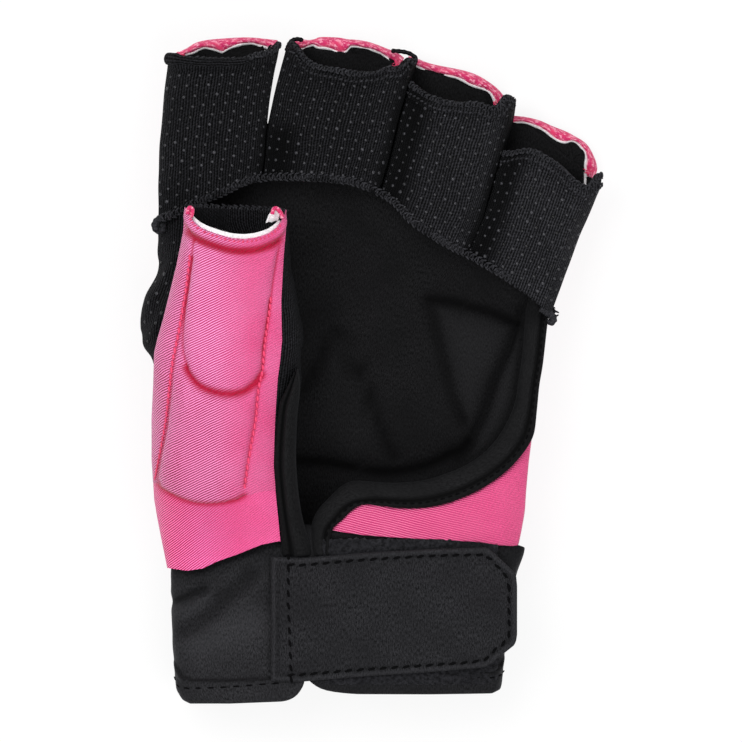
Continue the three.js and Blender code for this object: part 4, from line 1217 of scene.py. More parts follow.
class GLOVE_OT_fingers(bpy.types.Operator):
    """Sews the four fingers: knit fronts, twill backs with their cut foam, linings and edges"""

    bl_idname = "glove.fingers"
    bl_label = "Fingers"

    def execute(self, context):
        sizes = context.scene.glove_sizes
        foam = sizes.foam_thickness
        chance = np.random.default_rng(7)
        # Layers of a finger's back: piece, slot, cloths, inset outside and inside, gap at the tip outside and
        # inside, where it starts or how it lies, and the node it stands for
        cloth, under = ("back_twill", "lining"), (foam + 0.1, foam + 0.8)
        layers = (
            ("twill_back", "twill", cloth, (0.0, foam * 0.55), (0.9, 1.4), {}, ("back",)),
            ("foam", "twill", ("foam",), (foam * 0.6, foam), (2.8, 3.2), {"low_reach": 4.0}, ()),
            ("jersey", "lining", ("lining",), under, (1.5, 1.8), {"cover": True}, ("lining",)),
        )
        for name in FINGERS:
            finger = Finger(name)
            grid = knit_grid(finger)
            folds = knit_valley_shade(finger, grid)
            sleeve = thick(f"{name}_knit", grid, sizes.knit_thickness, "knit", subdivide=1, depth=folds)
            sew(sleeve, "knit", f"{name}_sleeve", f"{name}_hem", "palm_panel", across=finger.bend)
            for part, slot, cloths, insets, gaps, lie, nodes in layers:
                outer, inner = (back_grid(finger, inset, gap, **lie) for inset, gap in zip(insets, gaps))
                layer = wall(f"{name}_{part}", outer, inner, *cloths, subdivide=1)
                sew(layer, slot, *(f"{name}_{node}" for node in nodes), across=finger.bend)
            self.edges(finger, grid)
            self.tip_band(finger)
            self.dots(finger, grid, chance, sizes)
        return {"FINISHED"}

    def edges(self, finger, grid):
        """The overlocked edge of one finger's knit, and the thick roll at the index finger"""
        line, up = grid[-1, 6:-6], surface_normals(grid)[-3, 6:-6]
        inward = -np.cross(up, unit(np.gradient(line, axis=0)))
        loops = overlocked(f"{finger.name}_edge_loops", line + inward * 0.75, up, 0.8, 0.25)
        sew(loops, "knit", body=finger.body)
        if finger.name != "index":
            path, above = Surface(grid).at(line + inward * 3.0, 0.05)
            row = stitch_row(f"{finger.name}_hem_stitches", "finger_hem", path, above, "overlock")
            sew(row, "knit", body=finger.body)
            return
        path, _ = Surface(grid).at(smooth_line(plan(INDEX_HEM), 60), 0.1)
        path[:, 2] = np.maximum(path[:, 2], 14.5)
        share = np.linspace(0, 1, len(path))
        taper = 1.25 - 0.35 * ease(0.1, 0.2, share) - 0.75 * ease(0.75, 1, share)
        taper *= 1 + 0.06 * np.sin(share * 60)
        taper[:5] *= (0.35, 0.72, 0.88, 0.95, 1.0)
        roll = sweep("index_rolled_hem", path, oval(3.0, 2.7, 14), "knit", subdivide=1, taper=taper)
        sew(roll, "knit", body=finger.body)

    def tip_band(self, finger):
        """The cut edge of the twill at a fingertip, the white foam along it and the jersey inside"""
        outline, foam_line = (smooth_line(plan(line), TIP_COUNT) for line in TIP_BANDS[finger.name])
        slope = unit(np.gradient(foam_line, axis=0))
        inward = np.stack([slope[:, 1], -slope[:, 0]], -1)
        part = BAND_PARTS[:, None, None]
        flat = foam_line * (1 - part) + (outline - inward * 0.3) * part
        grid = with_height(flat, BAND_HEIGHTS[:, None])
        grid[..., 2] += wrinkle(grid, 1.6, 0.5, 4.0) + wrinkle(grid, 5, 0.5, 9.0)
        lower = grid.copy()
        lower[..., 2] = np.minimum(grid[..., 2] - 1.0, 4.6)
        lower[-1, :, 2] = 3.6
        band = wall(f"{finger.name}_tip_band", grid, lower, "cut_twill", subdivide=1)
        sew(band, "twill", body=finger.body)
        chance = np.random.default_rng(len(finger.name))
        width = np.interp(np.arange(TIP_COUNT), np.arange(0, 91, 6), chance.uniform(0.7, 1.35, 16))
        path = with_height(foam_line + inward * 0.2, 5.9)
        strip = sweep(f"{finger.name}_tip_foam", path, oval(0.72, 1.1, 8), "foam", taper=width)
        sew(strip, "twill", body=finger.body)
        lip = with_height(foam_line + inward * LIP_DROPS[:, None, None], LIP_HEIGHTS[:, None])
        lip[..., 2] += wrinkle(lip, 3, 0.6, 2.0)
        inner = thick(f"{finger.name}_tip_jersey", lip, 0.6, "lining", subdivide=1)
        sew(inner, "lining", body=finger.body)
        for index, corner in enumerate(TIP_CORNERS.get(finger.name, [])):
            corner = np.array(corner)
            path = smooth_line(with_height(plan(corner[:, :2]), corner[:, 2]), 40)
            taper = 1 + 0.1 * np.sin(np.arange(40) * 1.1)
            name, profile = f"{finger.name}_tip_fold_{index + 1}", oval(1.25, 1.25, 10)
            fold = sweep(name, path, profile, "knit", subdivide=1, taper=taper)
            sew(fold, "knit", body=finger.body)
        ends = np.concatenate([foam_line[-5:-1:2], foam_line[2:5:2]])
        sew(thread_tuft(f"{finger.name}_tip_threads", ends, 6.9), "twill", body=finger.body)

    def dots(self, finger, grid, chance, sizes):
        """Silicone grip dots in staggered rows along the finger"""
        flat = cloth_map(grid)
        us, vs = flat[0, :, 0], flat[:, 0, 1]
        low, high = vs.min(), vs.max()
        places = []
        for index in range(1, int((high - low) / sizes.dot_rows)):
            v = low + index * sizes.dot_rows
            if v > high - 3.5:
                break
            shift = sizes.dot_spacing * (0.12 * index % 1)
            for u in np.arange(us[5], us[-6], sizes.dot_spacing) + shift:
                if u <= us[-6]:
                    r, c = np.interp(v, vs, np.arange(len(vs))), np.interp(u, us, np.arange(len(us)))
                    places.append(grid_place(grid, r, c))
        places = np.array(places)
        places[:, :2] += chance.normal(0, 0.07, (len(places), 2))
        on, facing = Surface(grid[:, 3:-3]).at(places, 0.08)
        grades = np.clip(chance.normal(0.92, 0.1, len(places)), 0.6, 1.15)
        size = (sizes.dot_width, sizes.dot_width, 0.5)
        dots = scatter(
            f"{finger.name}_grip_dots", on, np.cross(facing, (0, 1, 0)), facing, size, "silicone", grades
        )
        sew(dots, "knit", across=finger.bend)


def grid_place(grid, row, column):
    """Place between the rows and columns of a grid"""
    r, c = int(row), int(column)
    r_next, c_next = min(r + 1, grid.shape[0] - 1), min(c + 1, grid.shape[1] - 1)
    low, high = (grid[at, c] * (1 - (column - c)) + grid[at, c_next] * (column - c) for at in (r, r_next))
    return low * (1 - (row - r)) + high * (row - r)


def hand_grid(angles, low, high, rows, inset=0.0, **shape):
    """Rows of places on the hand between two edges given as y over x"""
    inset = np.broadcast_to(np.asarray(inset, float), angles.shape)
    starts, ends = np.zeros(len(angles)), np.zeros(len(angles))
    for c, degrees in enumerate(angles):
        for edge, out in ((low, starts), (high, ends)):
            y = 0.0
            for _ in range(8):
                y = float(edge(hand_place(degrees, y, inset[c], **shape)[0]))
            out[c] = y
    part = np.linspace(0, 1, rows)[:, None]
    ys = starts * (1 - part) + ends * part
    return hand_place(np.broadcast_to(angles, ys.shape), ys, inset, **shape)


def crease_line(reach):
    """y over x of the line that lies at a reach from the finger creases"""
    points = []
    for name in FINGERS:
        finger = Finger(name)
        for share in (-0.98, -0.4, 0.4, 0.98):
            line = finger.column(share)
            along = finger.past_crease(line)
            points.append([np.interp(reach, along, line[:, 0]), np.interp(reach, along, line[:, 1])])
    points = np.array(sorted(points, key=lambda place: place[0]))
    return lambda x: np.interp(x, points[:, 0], points[:, 1])


# Seams of the pads seen through the lining, in pixels, with how strongly painted shade darkens each one's
# groove
LINING_SEAMS = [
    ([(429, 299), (450, 301), (470, 306), (490.5, 311.5), (511, 320.5), (519, 324.5)], 0.9),
    ([(429, 301), (434, 326), (443, 360), (453, 398), (464, 422)], 0.5),
    ([(338, 331), (351, 357), (365, 382), (375, 411), (387, 442), (394, 456)], 0.6),
    ([(332, 331), (320, 357), (307, 381), (298, 394)], 0.55),
    (
        [
            (296, 460.5), (320, 462), (344, 466), (368, 471), (386, 473), (405, 471), (426, 466),
            (450, 455.5), (463, 449), (469, 441),
        ],
        0.9,
    ),
    (
        [
            (522, 309), (517.7, 326), (511, 347), (501, 367), (492, 391), (484, 415), (475, 432),
            (469, 449), (458, 460),
        ],
        0.5,
    ),
]
# Panels of the lining that painted light makes lighter, in pixels, with their strength
LINING_PANELS = [
    (
        [
            (434, 305), (470, 311), (512, 326), (506, 347), (496, 367), (487, 391), (478, 415), (470, 430),
            (463, 416), (453, 390), (443, 350),
        ],
        0.6,
    ),
    (
        [
            (524, 312), (520, 328), (514, 348), (504, 368), (495, 392), (487, 416), (478, 434), (472, 450),
            (464, 459), (482, 452), (500, 434), (512, 410), (519, 385), (523, 350), (526, 318),
        ],
        1.3,
    ),
    ([(336, 340), (316, 380), (312, 440), (380, 460), (385, 450), (372, 412), (352, 366)], 0.2),
]
# The palm edge's chain and the knots at its ends, in pixels; each knot has its width and its heights in mm
PALM_CHAIN = [(163, 218)] + PALM_EDGE[3:-2] + [(548, 312), (551.5, 316)]
PALM_KNOTS = {
    "left": (
        [
            (172, 213.5), (163, 217), (157.5, 220), (154.6, 225.5), (157.3, 230.5), (162, 230.5),
            (163.2, 226.5), (160, 223.5),
        ],
        1.9, 22.5, 19.4,
    ),
    "right": (
        [(541, 307.5), (546, 311), (550.5, 314.6), (553.2, 318.2), (551.5, 321.6), (547, 320.6)],
        2.3, 18.6, 17.4,
    ),
}
# Where the grooves between the fingers cross the palm's edge, in pixels
PALM_GROOVES = ((262, 183), (378, 196), (471, 247))
WRIST_SEAM = level_of([(100, 566), (640, 566)])
LINING_SQUARENESS = 3.4


def flat_normals(line):
    """Unit normals of a plan line, to its left"""
    slope = unit(np.gradient(line, axis=0))
    return np.stack([-slope[:, 1], slope[:, 0]], -1)


class GLOVE_OT_hand(bpy.types.Operator):
    """Sews the hand: twill back, jersey lining with the seams of its pads, and the palm's overlocked edge"""

    bl_idname = "glove.hand"
    bl_label = "Hand"

    def execute(self, context):
        foam = context.scene.glove_sizes.foam_thickness
        self.back(foam)
        self.lining(foam)
        self.palm_edge()
        return {"FINISHED"}

    def back(self, foam):
        """The twill back, whose wall leans inward at its rim"""
        angles = [np.linspace(90, 110, 8), np.linspace(115, 245, 34), np.linspace(250, 270, 8)]
        angles = np.concatenate(angles)
        lean = 1.5 * (1 - ease(0, 40, np.minimum(angles - 90, 270 - angles)))
        outer, inner = (
            hand_grid(angles, WRIST_SEAM, crease_line(-8.6), 44, inset + lean) for inset in (0.0, foam * 0.9)
        )
        sew(wall("hand_twill_back", outer, inner, "back_twill", "lining", subdivide=1), "twill", "back_shell")

    def lining(self, foam):
        """The jersey lining, drawn in at the seams of the pads behind it"""
        angles = [np.linspace(90, 120, 22), np.linspace(122, 238, 90), np.linspace(240, 270, 22)]
        angles = np.concatenate(angles)
        edges = WRIST_SEAM, crease_line(2.5)
        grid = hand_grid(angles, *edges, 120, foam + 0.9, back_square=LINING_SQUARENESS)
        inward = -surface_normals(grid)
        lines = [(distance_to(smooth_line(plan(seam), 40), grid), dark) for seam, dark in LINING_SEAMS]
        away = np.min([distance for distance, _ in lines], axis=0)
        relief = 1.7 * (1 - np.exp(-away / 2.2)) + wrinkle(grid, 16, 1.1, 5.0) + wrinkle(grid, 6, 0.35, 8.0)
        relief *= 1 - ease(62, 84, np.abs(angles - 180))
        # Painted shade darkens the lining along the seams' grooves, and painted light lightens it over the
        # panels
        folds = np.max([dark * ridge(distance, 1.5) for distance, dark in lines], axis=0)
        for panel, light in LINING_PANELS:
            outline = np.concatenate([smooth_line(plan(panel), 40), plan(panel[:1])])
            folds -= light * inside(outline, grid) * (1 - np.exp(-distance_to(outline, grid) / 2.5))
        top = grid + inward * relief[..., None]
        lining = wall("palm_jersey", grid - inward * 0.6, top, "lining", depth=folds)
        sew(lining, "lining", "back_lining")

    def palm_edge(self):
        """The overlocked chain along the palm opening, the cord under it and the knots at its ends"""
        edge = smooth_line(plan(PALM_CHAIN), 190)
        upward = flat_normals(edge) * ease(0, 8, np.arange(len(edge)))[:, None]
        path = with_height(edge + upward, palm_edge_height(edge))
        facing = np.tile([0.0, -0.25, 1.0], (len(path), 1))
        loops = overlocked("palm_edge_loops", path + (0, 0, 0.35), facing, 1.05)
        sew(loops, "knit", "palm_overlock")
        sew(sweep("palm_edge_cord", path - (0, 0, 0.45), oval(1.9, 1.3, 10), "thread"), "knit")
        share = np.linspace(0, 1, 50)
        taper = (1 - 0.6 * ease(0.85, 1, share)) * (1 + 0.12 * np.sin(np.arange(50) * 1.3))
        for name, (knot, width, high, low) in PALM_KNOTS.items():
            path = with_height(smooth_line(plan(knot), 50), high + (low - high) * share)
            profile = oval(width, width, 12)
            coil = sweep(f"palm_edge_knot_{name}", path, profile, "overlock", subdivide=1, taper=taper)
            sew(coil, "knit")


def palm_edge_height(edge):
    """Height of the palm's edge: the fingers' tops with dips at the grooves between them"""
    height = np.full(len(edge), FINGER_TOP - 0.6)
    for groove in PALM_GROOVES:
        height -= 2.4 * ridge(np.linalg.norm(edge - plan(groove), axis=1), 3.5)
    start, end = (np.linalg.norm(edge - edge[at], axis=1) for at in (0, -1))
    return height + 2.8 * ridge(start, 7) - 4.0 * ridge(end, 7)


# The thumb's sides and the edge of its twill in pixels, and the height of its top over y, in mm
THUMB_LEFT = side_of([
    (187, 200), (185, 209), (183.5, 232), (176.7, 266), (170, 293), (163, 321), (157.5, 340), (154.5, 353),
    (153.4, 384), (151.3, 419), (151.5, 460), (153.8, 500), (159.6, 532), (164.8, 558), (168.2, 575),
])
THUMB_RIGHT = side_of([
    (287, 200), (288, 212), (290, 240), (293.5, 272), (298.5, 295), (302, 318), (303.5, 341), (302, 371),
    (299, 395), (297, 419), (296, 455), (297.5, 485), (301, 511), (307, 533), (314, 556),
])
TWILL_RIGHT = side_of([
    (285.5, 200), (287, 222), (284, 257), (281.6, 302), (282.4, 341), (280.5, 361), (278, 380),
    (275.5, 419), (274, 464), (276, 492), (278.7, 520), (281, 546), (283, 560),
])
THUMB_TOP = table([
    (-56, 25), (-50, 26.8), (-44.5, 30), (-36, 36), (-25.2, 40.5), (-12.6, 42), (9, 42.4), (43.6, 41),
])
THUMB_SQUARENESS = 2.4
# In pixels: the edge of the thumb's opening, the seam between its upper twill and its root, and the seam at
# the cuff
THUMB_SCOOP = level_of([
    (180, 203), (186, 208), (188.5, 213), (191, 217.5), (195.5, 224), (202, 229), (210, 232.8),
    (222, 236.8), (233, 239.6), (245, 240.4), (256, 239), (268, 235), (276, 229.5), (281, 223),
    (284.5, 215), (287, 207), (292, 202),
])
THUMB_SPLIT = level_of([
    (140, 476), (155, 483), (161.5, 488.7), (176, 496.7), (193, 502), (207, 503.4), (222, 502.4),
    (236, 499), (246, 495.5), (262, 491), (320, 487),
])
CUFF_SEAM = level_of([
    (150, 566), (170, 568.6), (186.7, 571), (202.6, 568.6), (217, 561.4), (237.7, 554), (252, 547.8),
    (261.6, 543.9), (278.4, 541), (300, 543), (330, 545),
])
# Outlines of the two pads, the rows of stitches beside them and the seams at their sides, in pixels
UPPER_PAD = [
    (200, 252), (212, 257), (226, 260), (240, 261), (254, 260), (266, 256), (276, 252), (276.5, 262),
    (272.5, 289), (268, 319), (264.5, 345), (263.5, 362), (261, 372), (254, 381), (243.5, 387.5),
    (229, 389.5), (213, 387), (199, 381), (188.6, 369), (184.3, 352), (184, 337), (186, 309), (190.5, 278),
    (193.5, 258),
]
LOWER_PAD = [
    (173.5, 379), (187, 380), (198, 389), (213, 395.5), (229, 398), (244, 395.5), (254.5, 388),
    (260.5, 379), (258, 400), (254, 425), (250, 452), (246, 478), (243.5, 493), (236, 496.5), (222, 499.5),
    (207, 500.5), (193, 499), (176, 493.5), (162, 486), (157.5, 477), (162, 450), (167, 425), (171, 400),
]
THUMB_STITCHES = [
    [
        (190.5, 258), (188, 280), (185, 300), (179.5, 332), (173.8, 360), (170.5, 385), (167, 417),
        (162, 446), (158, 466), (155.5, 478),
    ],
    [
        (271, 300), (269, 318), (265, 345), (263, 370), (258.5, 392), (256.4, 417), (252.5, 440),
        (248.5, 462), (245, 486),
    ],
]
PAD_SEAMS = [
    [(193.5, 240), (190.5, 262), (187.5, 285), (184.7, 309), (183.3, 337), (184, 352), (188, 368)],
    [(279.5, 248), (277, 262), (273, 289), (268.5, 319), (265, 345), (263.5, 368)],
]


def thumb_place(degrees, y, inset=0.0):
    """Place on the thumb's girth: -90 degrees is the outer side, 0 the top, 90 the side over the palm"""
    degrees, y = np.broadcast_arrays(np.asarray(degrees, float), np.asarray(y, float))
    sine, cosine = np.sin(np.radians(degrees)), np.cos(np.radians(degrees))
    left, right = THUMB_LEFT(y), THUMB_RIGHT(y)
    free = ease(-16, 4, y)
    rim = np.where(sine < 0, 16.5 + 14.5 * free, 20 + 11 * free)
    low = 19 + 3 * ease(0, 44, y)
    reach = np.where(cosine > 0, THUMB_TOP(y) - inset - rim, rim - low - inset)
    x = (left + right) / 2 + ((right - left) / 2 - inset) * rounded(sine, THUMB_SQUARENESS)
    return np.stack([x, y, rim + reach * rounded(cosine, THUMB_SQUARENESS)], -1)


def twill_edge_angle(y, extra=0.0):
    """Angle on the thumb's girth at which the twill meets the knit"""
    share = side_share(TWILL_RIGHT(y), THUMB_LEFT(y), THUMB_RIGHT(y))
    return np.degrees(np.arcsin(np.clip(share, 0, 0.98) ** (THUMB_SQUARENESS / 2))) + extra


def thumb_grid(shares, low, high, rows, inset=0.0):
    """The twill of the thumb from its outer side to the knit, as shares of its girth"""
    grid = np.zeros((rows, len(shares), 3))
    for c, share in enumerate(shares):
        ends = []
        for edge in (low, high):
            y = 0.0
            for _ in range(12):
                degrees = -90 + (twill_edge_angle(y) + 90) * share
                y = 0.5 * y + 0.5 * float(edge(thumb_place(degrees, y, inset)[0]))
            ends.append(y)
        ys = np.linspace(*ends, rows)
        grid[:, c] = thumb_place(-90 + (twill_edge_angle(ys) + 90) * share, ys, inset)
    return grid


def moved(edge, shift):
    """An edge given as y over x, moved along the thumb"""
    return lambda x: edge(x) + shift


# The bead under the thumb's opening, and the drawn-in arcs below the two pads, in pixels
SCOOP_LINE = smooth_line(plan([
    (187, 210), (191, 217.5), (195.5, 224), (202, 229), (210, 232.8), (222, 236.8), (233, 239.6),
    (245, 240.4), (256, 239), (268, 235), (276, 229.5), (281, 223), (284, 216),
]), 80)
UPPER_ARC = smooth_line(plan([
    (186.5, 368), (191, 376), (200, 385.5), (213, 391.3), (229, 393.8), (244, 391.5), (255, 384.5),
    (263, 375.5),
]), 50)
LOWER_ARC = smooth_line(plan([
    (157, 483), (162, 488.5), (176, 496.5), (193, 501.7), (207, 503), (222, 502), (236, 499), (245, 495),
]), 50)
# The lower lips of the pads, as parts of their outlines
UPPER_LIP = slice(14, 19)
LOWER_LIP = slice(13, 19)


def thumb_relief(grid):
    """Height of the two pads, the scooped bead and the creases over the thumb's twill, and the painted shade
    that darkens its grooves and folds"""
    relief = raised(plan(UPPER_PAD), grid, 2.4, 2.8, 0.1, 0.8)
    relief += raised(plan(LOWER_PAD), grid, 1.8, 2.8, 0.1, 0.8)
    scoop, arc, low_arc = (distance_to(line, grid) for line in (SCOOP_LINE, UPPER_ARC, LOWER_ARC))
    relief += 0.7 * ridge(scoop, 0.8, 1.3) - 1.3 * ridge(scoop, 0.7, 3.1)
    for lip, height, width in ((UPPER_PAD[UPPER_LIP], 0.7, 1.0), (LOWER_PAD[LOWER_LIP], 0.5, 0.9)):
        relief += height * ridge(distance_to(smooth_line(plan(lip), 60), grid), width)
    relief -= 1.2 * ridge(arc, 0.9) + 0.7 * ridge(low_arc, 0.8)
    # Painted shade: darker red pink in the groove under the scoop's bead, under the two pads' lower arcs,
    # below the lower pad, and along the stitch rows and pad seams
    depth = 1.5 * ridge(scoop, 1.0, 3.0) + 1.3 * ridge(arc, 0.95) + 0.85 * ridge(low_arc, 0.75)
    depth += 0.25 * np.exp(-low_arc / 5) * (grid[..., 1] < THUMB_SPLIT(grid[..., 0]))
    for lines, drop, drop_width, dark, dark_width in (
        (THUMB_STITCHES, 0.5, 0.75, 0.6, 0.5),
        (PAD_SEAMS, 0.25, 0.5, 0.75, 0.32),
    ):
        for line in lines:
            away = distance_to(smooth_line(plan(line), 60), grid)
            relief -= drop * ridge(away, drop_width)
            depth += dark * ridge(away, dark_width)
    columns = np.arange(grid.shape[1])
    fade = np.clip(np.minimum(columns, columns[::-1]) / 5, 0, 1) ** 0.7
    relief += wrinkle(grid, 14, 0.5, 2.0) + wrinkle(grid, 4, 0.12, 9.0)
    return relief * fade, np.clip(depth, 0, 1) * fade


# The thumb's joints as given to sew: the two bodies, and the places in mm where a bend would start and end;
# the cloth is not bent by them
THUMB_FLEX = ("thumb_base", "thumb_tip", (-38, -12, 30), (-38, -2, 30))
ROOT_BEND = ("hand", "thumb_base", (-40, -48, 30), (-40, -38.5, 30))
BINDING_BEND = ("hand", "thumb_base", (-25, -48, 30), (-25, -38, 30))
GUSSET_BEND = ("hand", "thumb_base", (-61, 0, 15), (-50, 0, 15))
SIDE_BEND = ("hand", "thumb_base", (-59, -20, 14.2), (-59, -20, 18.2))
# Shares of the twill's girth, and the column that its ribs are measured from
THUMB_SHARES = np.concatenate([[0, 0.02, 0.05], np.linspace(0.085, 1, 62)])
THUMB_MIDDLE = 36
# Edges of the thumb in pixels: the knit's far edge, and the binding's two sides
KNIT_EDGE = level_of([(150, 204), (188, 207), (283, 211), (310, 213)])
KNIT_LOW = plan([(0, 425)])[0][1]
KNIT_HIGH = 43.6
BINDING_OUTSIDE = smooth_line(plan([
    (297, 368), (286, 390), (279.5, 406), (276, 436), (274.5, 464), (276.5, 492), (279.5, 520),
    (281.5, 542), (282, 556),
]), 100)
BINDING_INSIDE = smooth_line(plan([
    (298.5, 369), (300.5, 389), (297.5, 417), (296.3, 455), (298, 485), (301.5, 511), (307, 533),
    (312.5, 547), (315, 556),
]), 100)
# Loops of turned twill at the opening's corners, and the two edges of the torn bit of foam, in pixels
CORNER_LOOPS = {
    "left": [(188.3, 215), (188.6, 210.5), (190.6, 208), (193, 210), (192.6, 214), (191.6, 218)],
    "right": [(272.5, 215), (273.6, 210.5), (276, 208.6), (279, 210.5), (281.6, 214.5), (283, 219)],
}
CORNER_HEIGHT = 36.6
TORN_LOW = [(266.5, 225.5), (269.5, 222), (272, 224.5), (275, 221.5), (278.5, 223)]
TORN_HIGH = [(271, 213), (273, 211), (275, 210.5), (277, 211.5), (279.5, 214)]


class GLOVE_OT_thumb(bpy.types.Operator):
    """Sews the thumb: twill over two pads, cut foam, knit side, edges, stitches and binding at its base"""

    bl_idname = "glove.thumb"
    bl_label = "Thumb"

    def execute(self, context):
        foam = context.scene.glove_sizes.foam_thickness
        outer, folds = self.padded_twill(THUMB_SPLIT, THUMB_SCOOP, 116, 0.0)
        inner = thumb_grid(THUMB_SHARES, THUMB_SPLIT, moved(THUMB_SCOOP, 0.3), 116, foam * 0.55)
        shell = wall("thumb_twill", outer, inner, "twill", uv=lay_flat(outer, THUMB_MIDDLE), depth=folds)
        nodes = "thumb_tip_shell", "thumb_tip_pad", "thumb_base_shell", "thumb_base_pad"
        sew(shell, "twill", *nodes, across=THUMB_FLEX, fill=0.8)

        every_other, back_from = THUMB_SHARES[::2], moved(THUMB_SCOOP, -12)
        top = thumb_grid(every_other, back_from, moved(THUMB_SCOOP, 0.4), 18, foam * 0.6)
        under = thumb_grid(every_other, back_from, moved(THUMB_SCOOP, 1.9), 18, foam)
        sew(wall("thumb_foam", top, under, "foam", subdivide=1), "twill", across=THUMB_FLEX)
        top = thumb_grid(every_other, THUMB_SPLIT, moved(THUMB_SCOOP, 1.4), 40, foam + 0.1)
        under = thumb_grid(every_other, THUMB_SPLIT, moved(THUMB_SCOOP, 1.2), 40, foam + 0.8)
        lining = wall("thumb_jersey", top, under, "lining", subdivide=1)
        sew(lining, "lining", "thumb_base_lining", across=THUMB_FLEX)

        under_split = moved(THUMB_SPLIT, 0.6)
        outer, folds = self.padded_twill(CUFF_SEAM, under_split, 34, 0.05)
        inner = thumb_grid(THUMB_SHARES, CUFF_SEAM, under_split, 34, foam)
        flat = lay_flat(outer, THUMB_MIDDLE)
        root = wall("thumb_root_twill", outer, inner, "root_twill", "lining", uv=flat, depth=folds)
        sew(root, "twill", "thumb_root_panel", across=ROOT_BEND, fill=0.7)

        self.knit_side()
        self.binding()
        self.stitches()
        self.corners()
        return {"FINISHED"}

    def padded_twill(self, low, high, rows, sunk):
        """The outside of the twill with its pads raised, and the painted shade in its grooves and folds"""
        outer = thumb_grid(THUMB_SHARES, low, high, rows)
        lift, folds = thumb_relief(outer)
        return outer + surface_normals(outer) * (lift - sunk)[..., None], folds

    def knit_side(self):
        """The ribbed knit round the side and underside of the thumb"""
        ys = np.linspace(KNIT_LOW, KNIT_HIGH, 70)
        share = np.concatenate([np.linspace(0, 0.3, 22), np.linspace(0.33, 1, 26)])
        grid = np.zeros((len(ys), len(share), 3))
        for r, y in enumerate(ys):
            start = float(twill_edge_angle(y, -3.0))
            degrees = start + (264 - start) * share
            grid[r] = thumb_place(degrees, y, 0.9 * ease(150, 262, degrees))
        part = np.linspace(0, 1, len(ys))[:, None]
        grid[..., 1] = grid[0, 0, 1] + (KNIT_EDGE(grid[-1, :, 0]) - grid[0, 0, 1]) * part
        grid += surface_normals(grid) * (wrinkle(grid, 5, 0.7, 4.0) * (1 - part**4) - 0.25)[..., None]
        side = thick("thumb_knit", grid, 1.0, "knit", subdivide=1)
        sew(side, "knit", "thumb_tip_knit", "thumb_tip_hem", across=THUMB_FLEX)
        line = grid[-1, 8:-2]
        loops = overlocked("thumb_edge_loops", line, np.tile([0.0, 0.3, 1.0], (len(line), 1)))
        sew(loops, "knit", body="thumb_tip")

    def binding(self):
        """The stretch binding at the base of the thumb: a stitched flange and a soft roll"""
        heights = [thumb_place(twill_edge_angle(y), y)[2] - 0.2 for y in BINDING_OUTSIDE[:, 1]]
        edges = BINDING_OUTSIDE, BINDING_INSIDE
        piece, surface, top = roll_band("thumb_base_binding", *edges, heights, 4.0, 2.3, 1.6)
        sew(piece, "binding", "thumb_binding", across=BINDING_BEND)
        path, facing = surface.at(top[6:-2, 5, :2], 0.02)
        seam = stitch_row("thumb_binding_stitches", "thumb_binding", path, facing, "binding")
        sew(seam, "binding", across=BINDING_BEND)

    def stitches(self):
        """Red pink stitches down both sides of the pads and along the bead"""
        grid = thumb_grid(np.linspace(0.02, 1, 60), THUMB_SPLIT, THUMB_SCOOP, 110)
        surface = Surface(grid + surface_normals(grid) * thumb_relief(grid)[0][..., None])
        rows = [
            (f"thumb_pad_stitches_{index + 1}", "thumb_pad", plan(line), 0.12)
            for index, line in enumerate(THUMB_STITCHES)
        ]
        rows.append(("thumb_edge_stitches", "thumb_edge", SCOOP_LINE[6:-6] - (0, 0.55), 0.1))
        for name, seam, line, lift in rows:
            path, facing = surface.at(smooth_line(line, 120), lift)
            sew(stitch_row(name, seam, path, facing, "pink_thread"), "twill", across=THUMB_FLEX)

    def corners(self):
        """The loops of twill at the opening's corners, and the torn bit of foam inside the right one"""
        for name, line in CORNER_LOOPS.items():
            path = with_height(smooth_line(plan(line), 24), CORNER_HEIGHT)
            loop = sweep(f"thumb_corner_loop_{name}", path, oval(1.2, 1.3, 10), "cut_twill", subdivide=1)
            sew(loop, "twill", body="thumb_tip")
        part = np.linspace(0, 1, 5)[:, None]
        flat = plan(TORN_LOW) * (1 - part[..., None]) + plan(TORN_HIGH) * part[..., None]
        grid = with_height(flat, 34 + 1.5 * part)
        grid[..., 2] += wrinkle(grid, 1.5, 0.8, 6.0)
        sew(thick("thumb_torn_foam", grid, 0.8, "foam", subdivide=2), "twill", body="thumb_tip")


def roll_band(name, outside, inside_line, heights, drop, roll, below):
    """Bound edge between two lines: a flat stitched flange outside and a soft roll inside that hangs over;
    drop, roll and below are how far it hangs, rises and reaches down, in mm"""
    flange, gap = 0.3, 0.05
    u = np.linspace(0, 1, 18)
    roll_part = np.clip((u - flange - gap) / (1 - gap - flange), 0, 1)
    crown = roll * np.clip(1 - np.abs(2 * roll_part - 1) ** 2.8, 0, 1) ** (1 / 2.2)
    bulge = np.where(u > flange + gap, crown, 0)
    bulge += np.where(u < flange, 0.75 * np.sin(np.pi * np.clip(u / flange, 0, 1)) ** 0.5, 0)
    base = np.asarray(heights)[:, None] - drop * u**2
    share = u[:, None]
    grid = with_height(outside[:, None] * (1 - share) + inside_line[:, None] * share, base + bulge)
    grid[..., 2] += wrinkle(grid, 12, 0.5, 6.0)
    lower = grid.copy()
    lower[..., 2] = base - below * np.sqrt(np.clip(1 - (2 * u - 1) ** 6, 0.02, 1))
    across, along = grid[0, -1, :2] - grid[0, 0, :2], grid[1, 0, :2] - grid[0, 0, :2]
    if across[0] * along[1] < across[1] * along[0]:
        grid, lower, u = grid[:, ::-1], lower[:, ::-1], u[::-1]
    # Painted shade in the groove between the flange and the roll, and the flange darker all over
    folds = np.broadcast_to(0.9 * ridge(u, 0.07, flange) + 0.45 * (u < flange), grid.shape[:2])
    piece = wall(name, grid, lower, "binding", subdivide=1, depth=folds)
    return piece, Surface(grid), grid


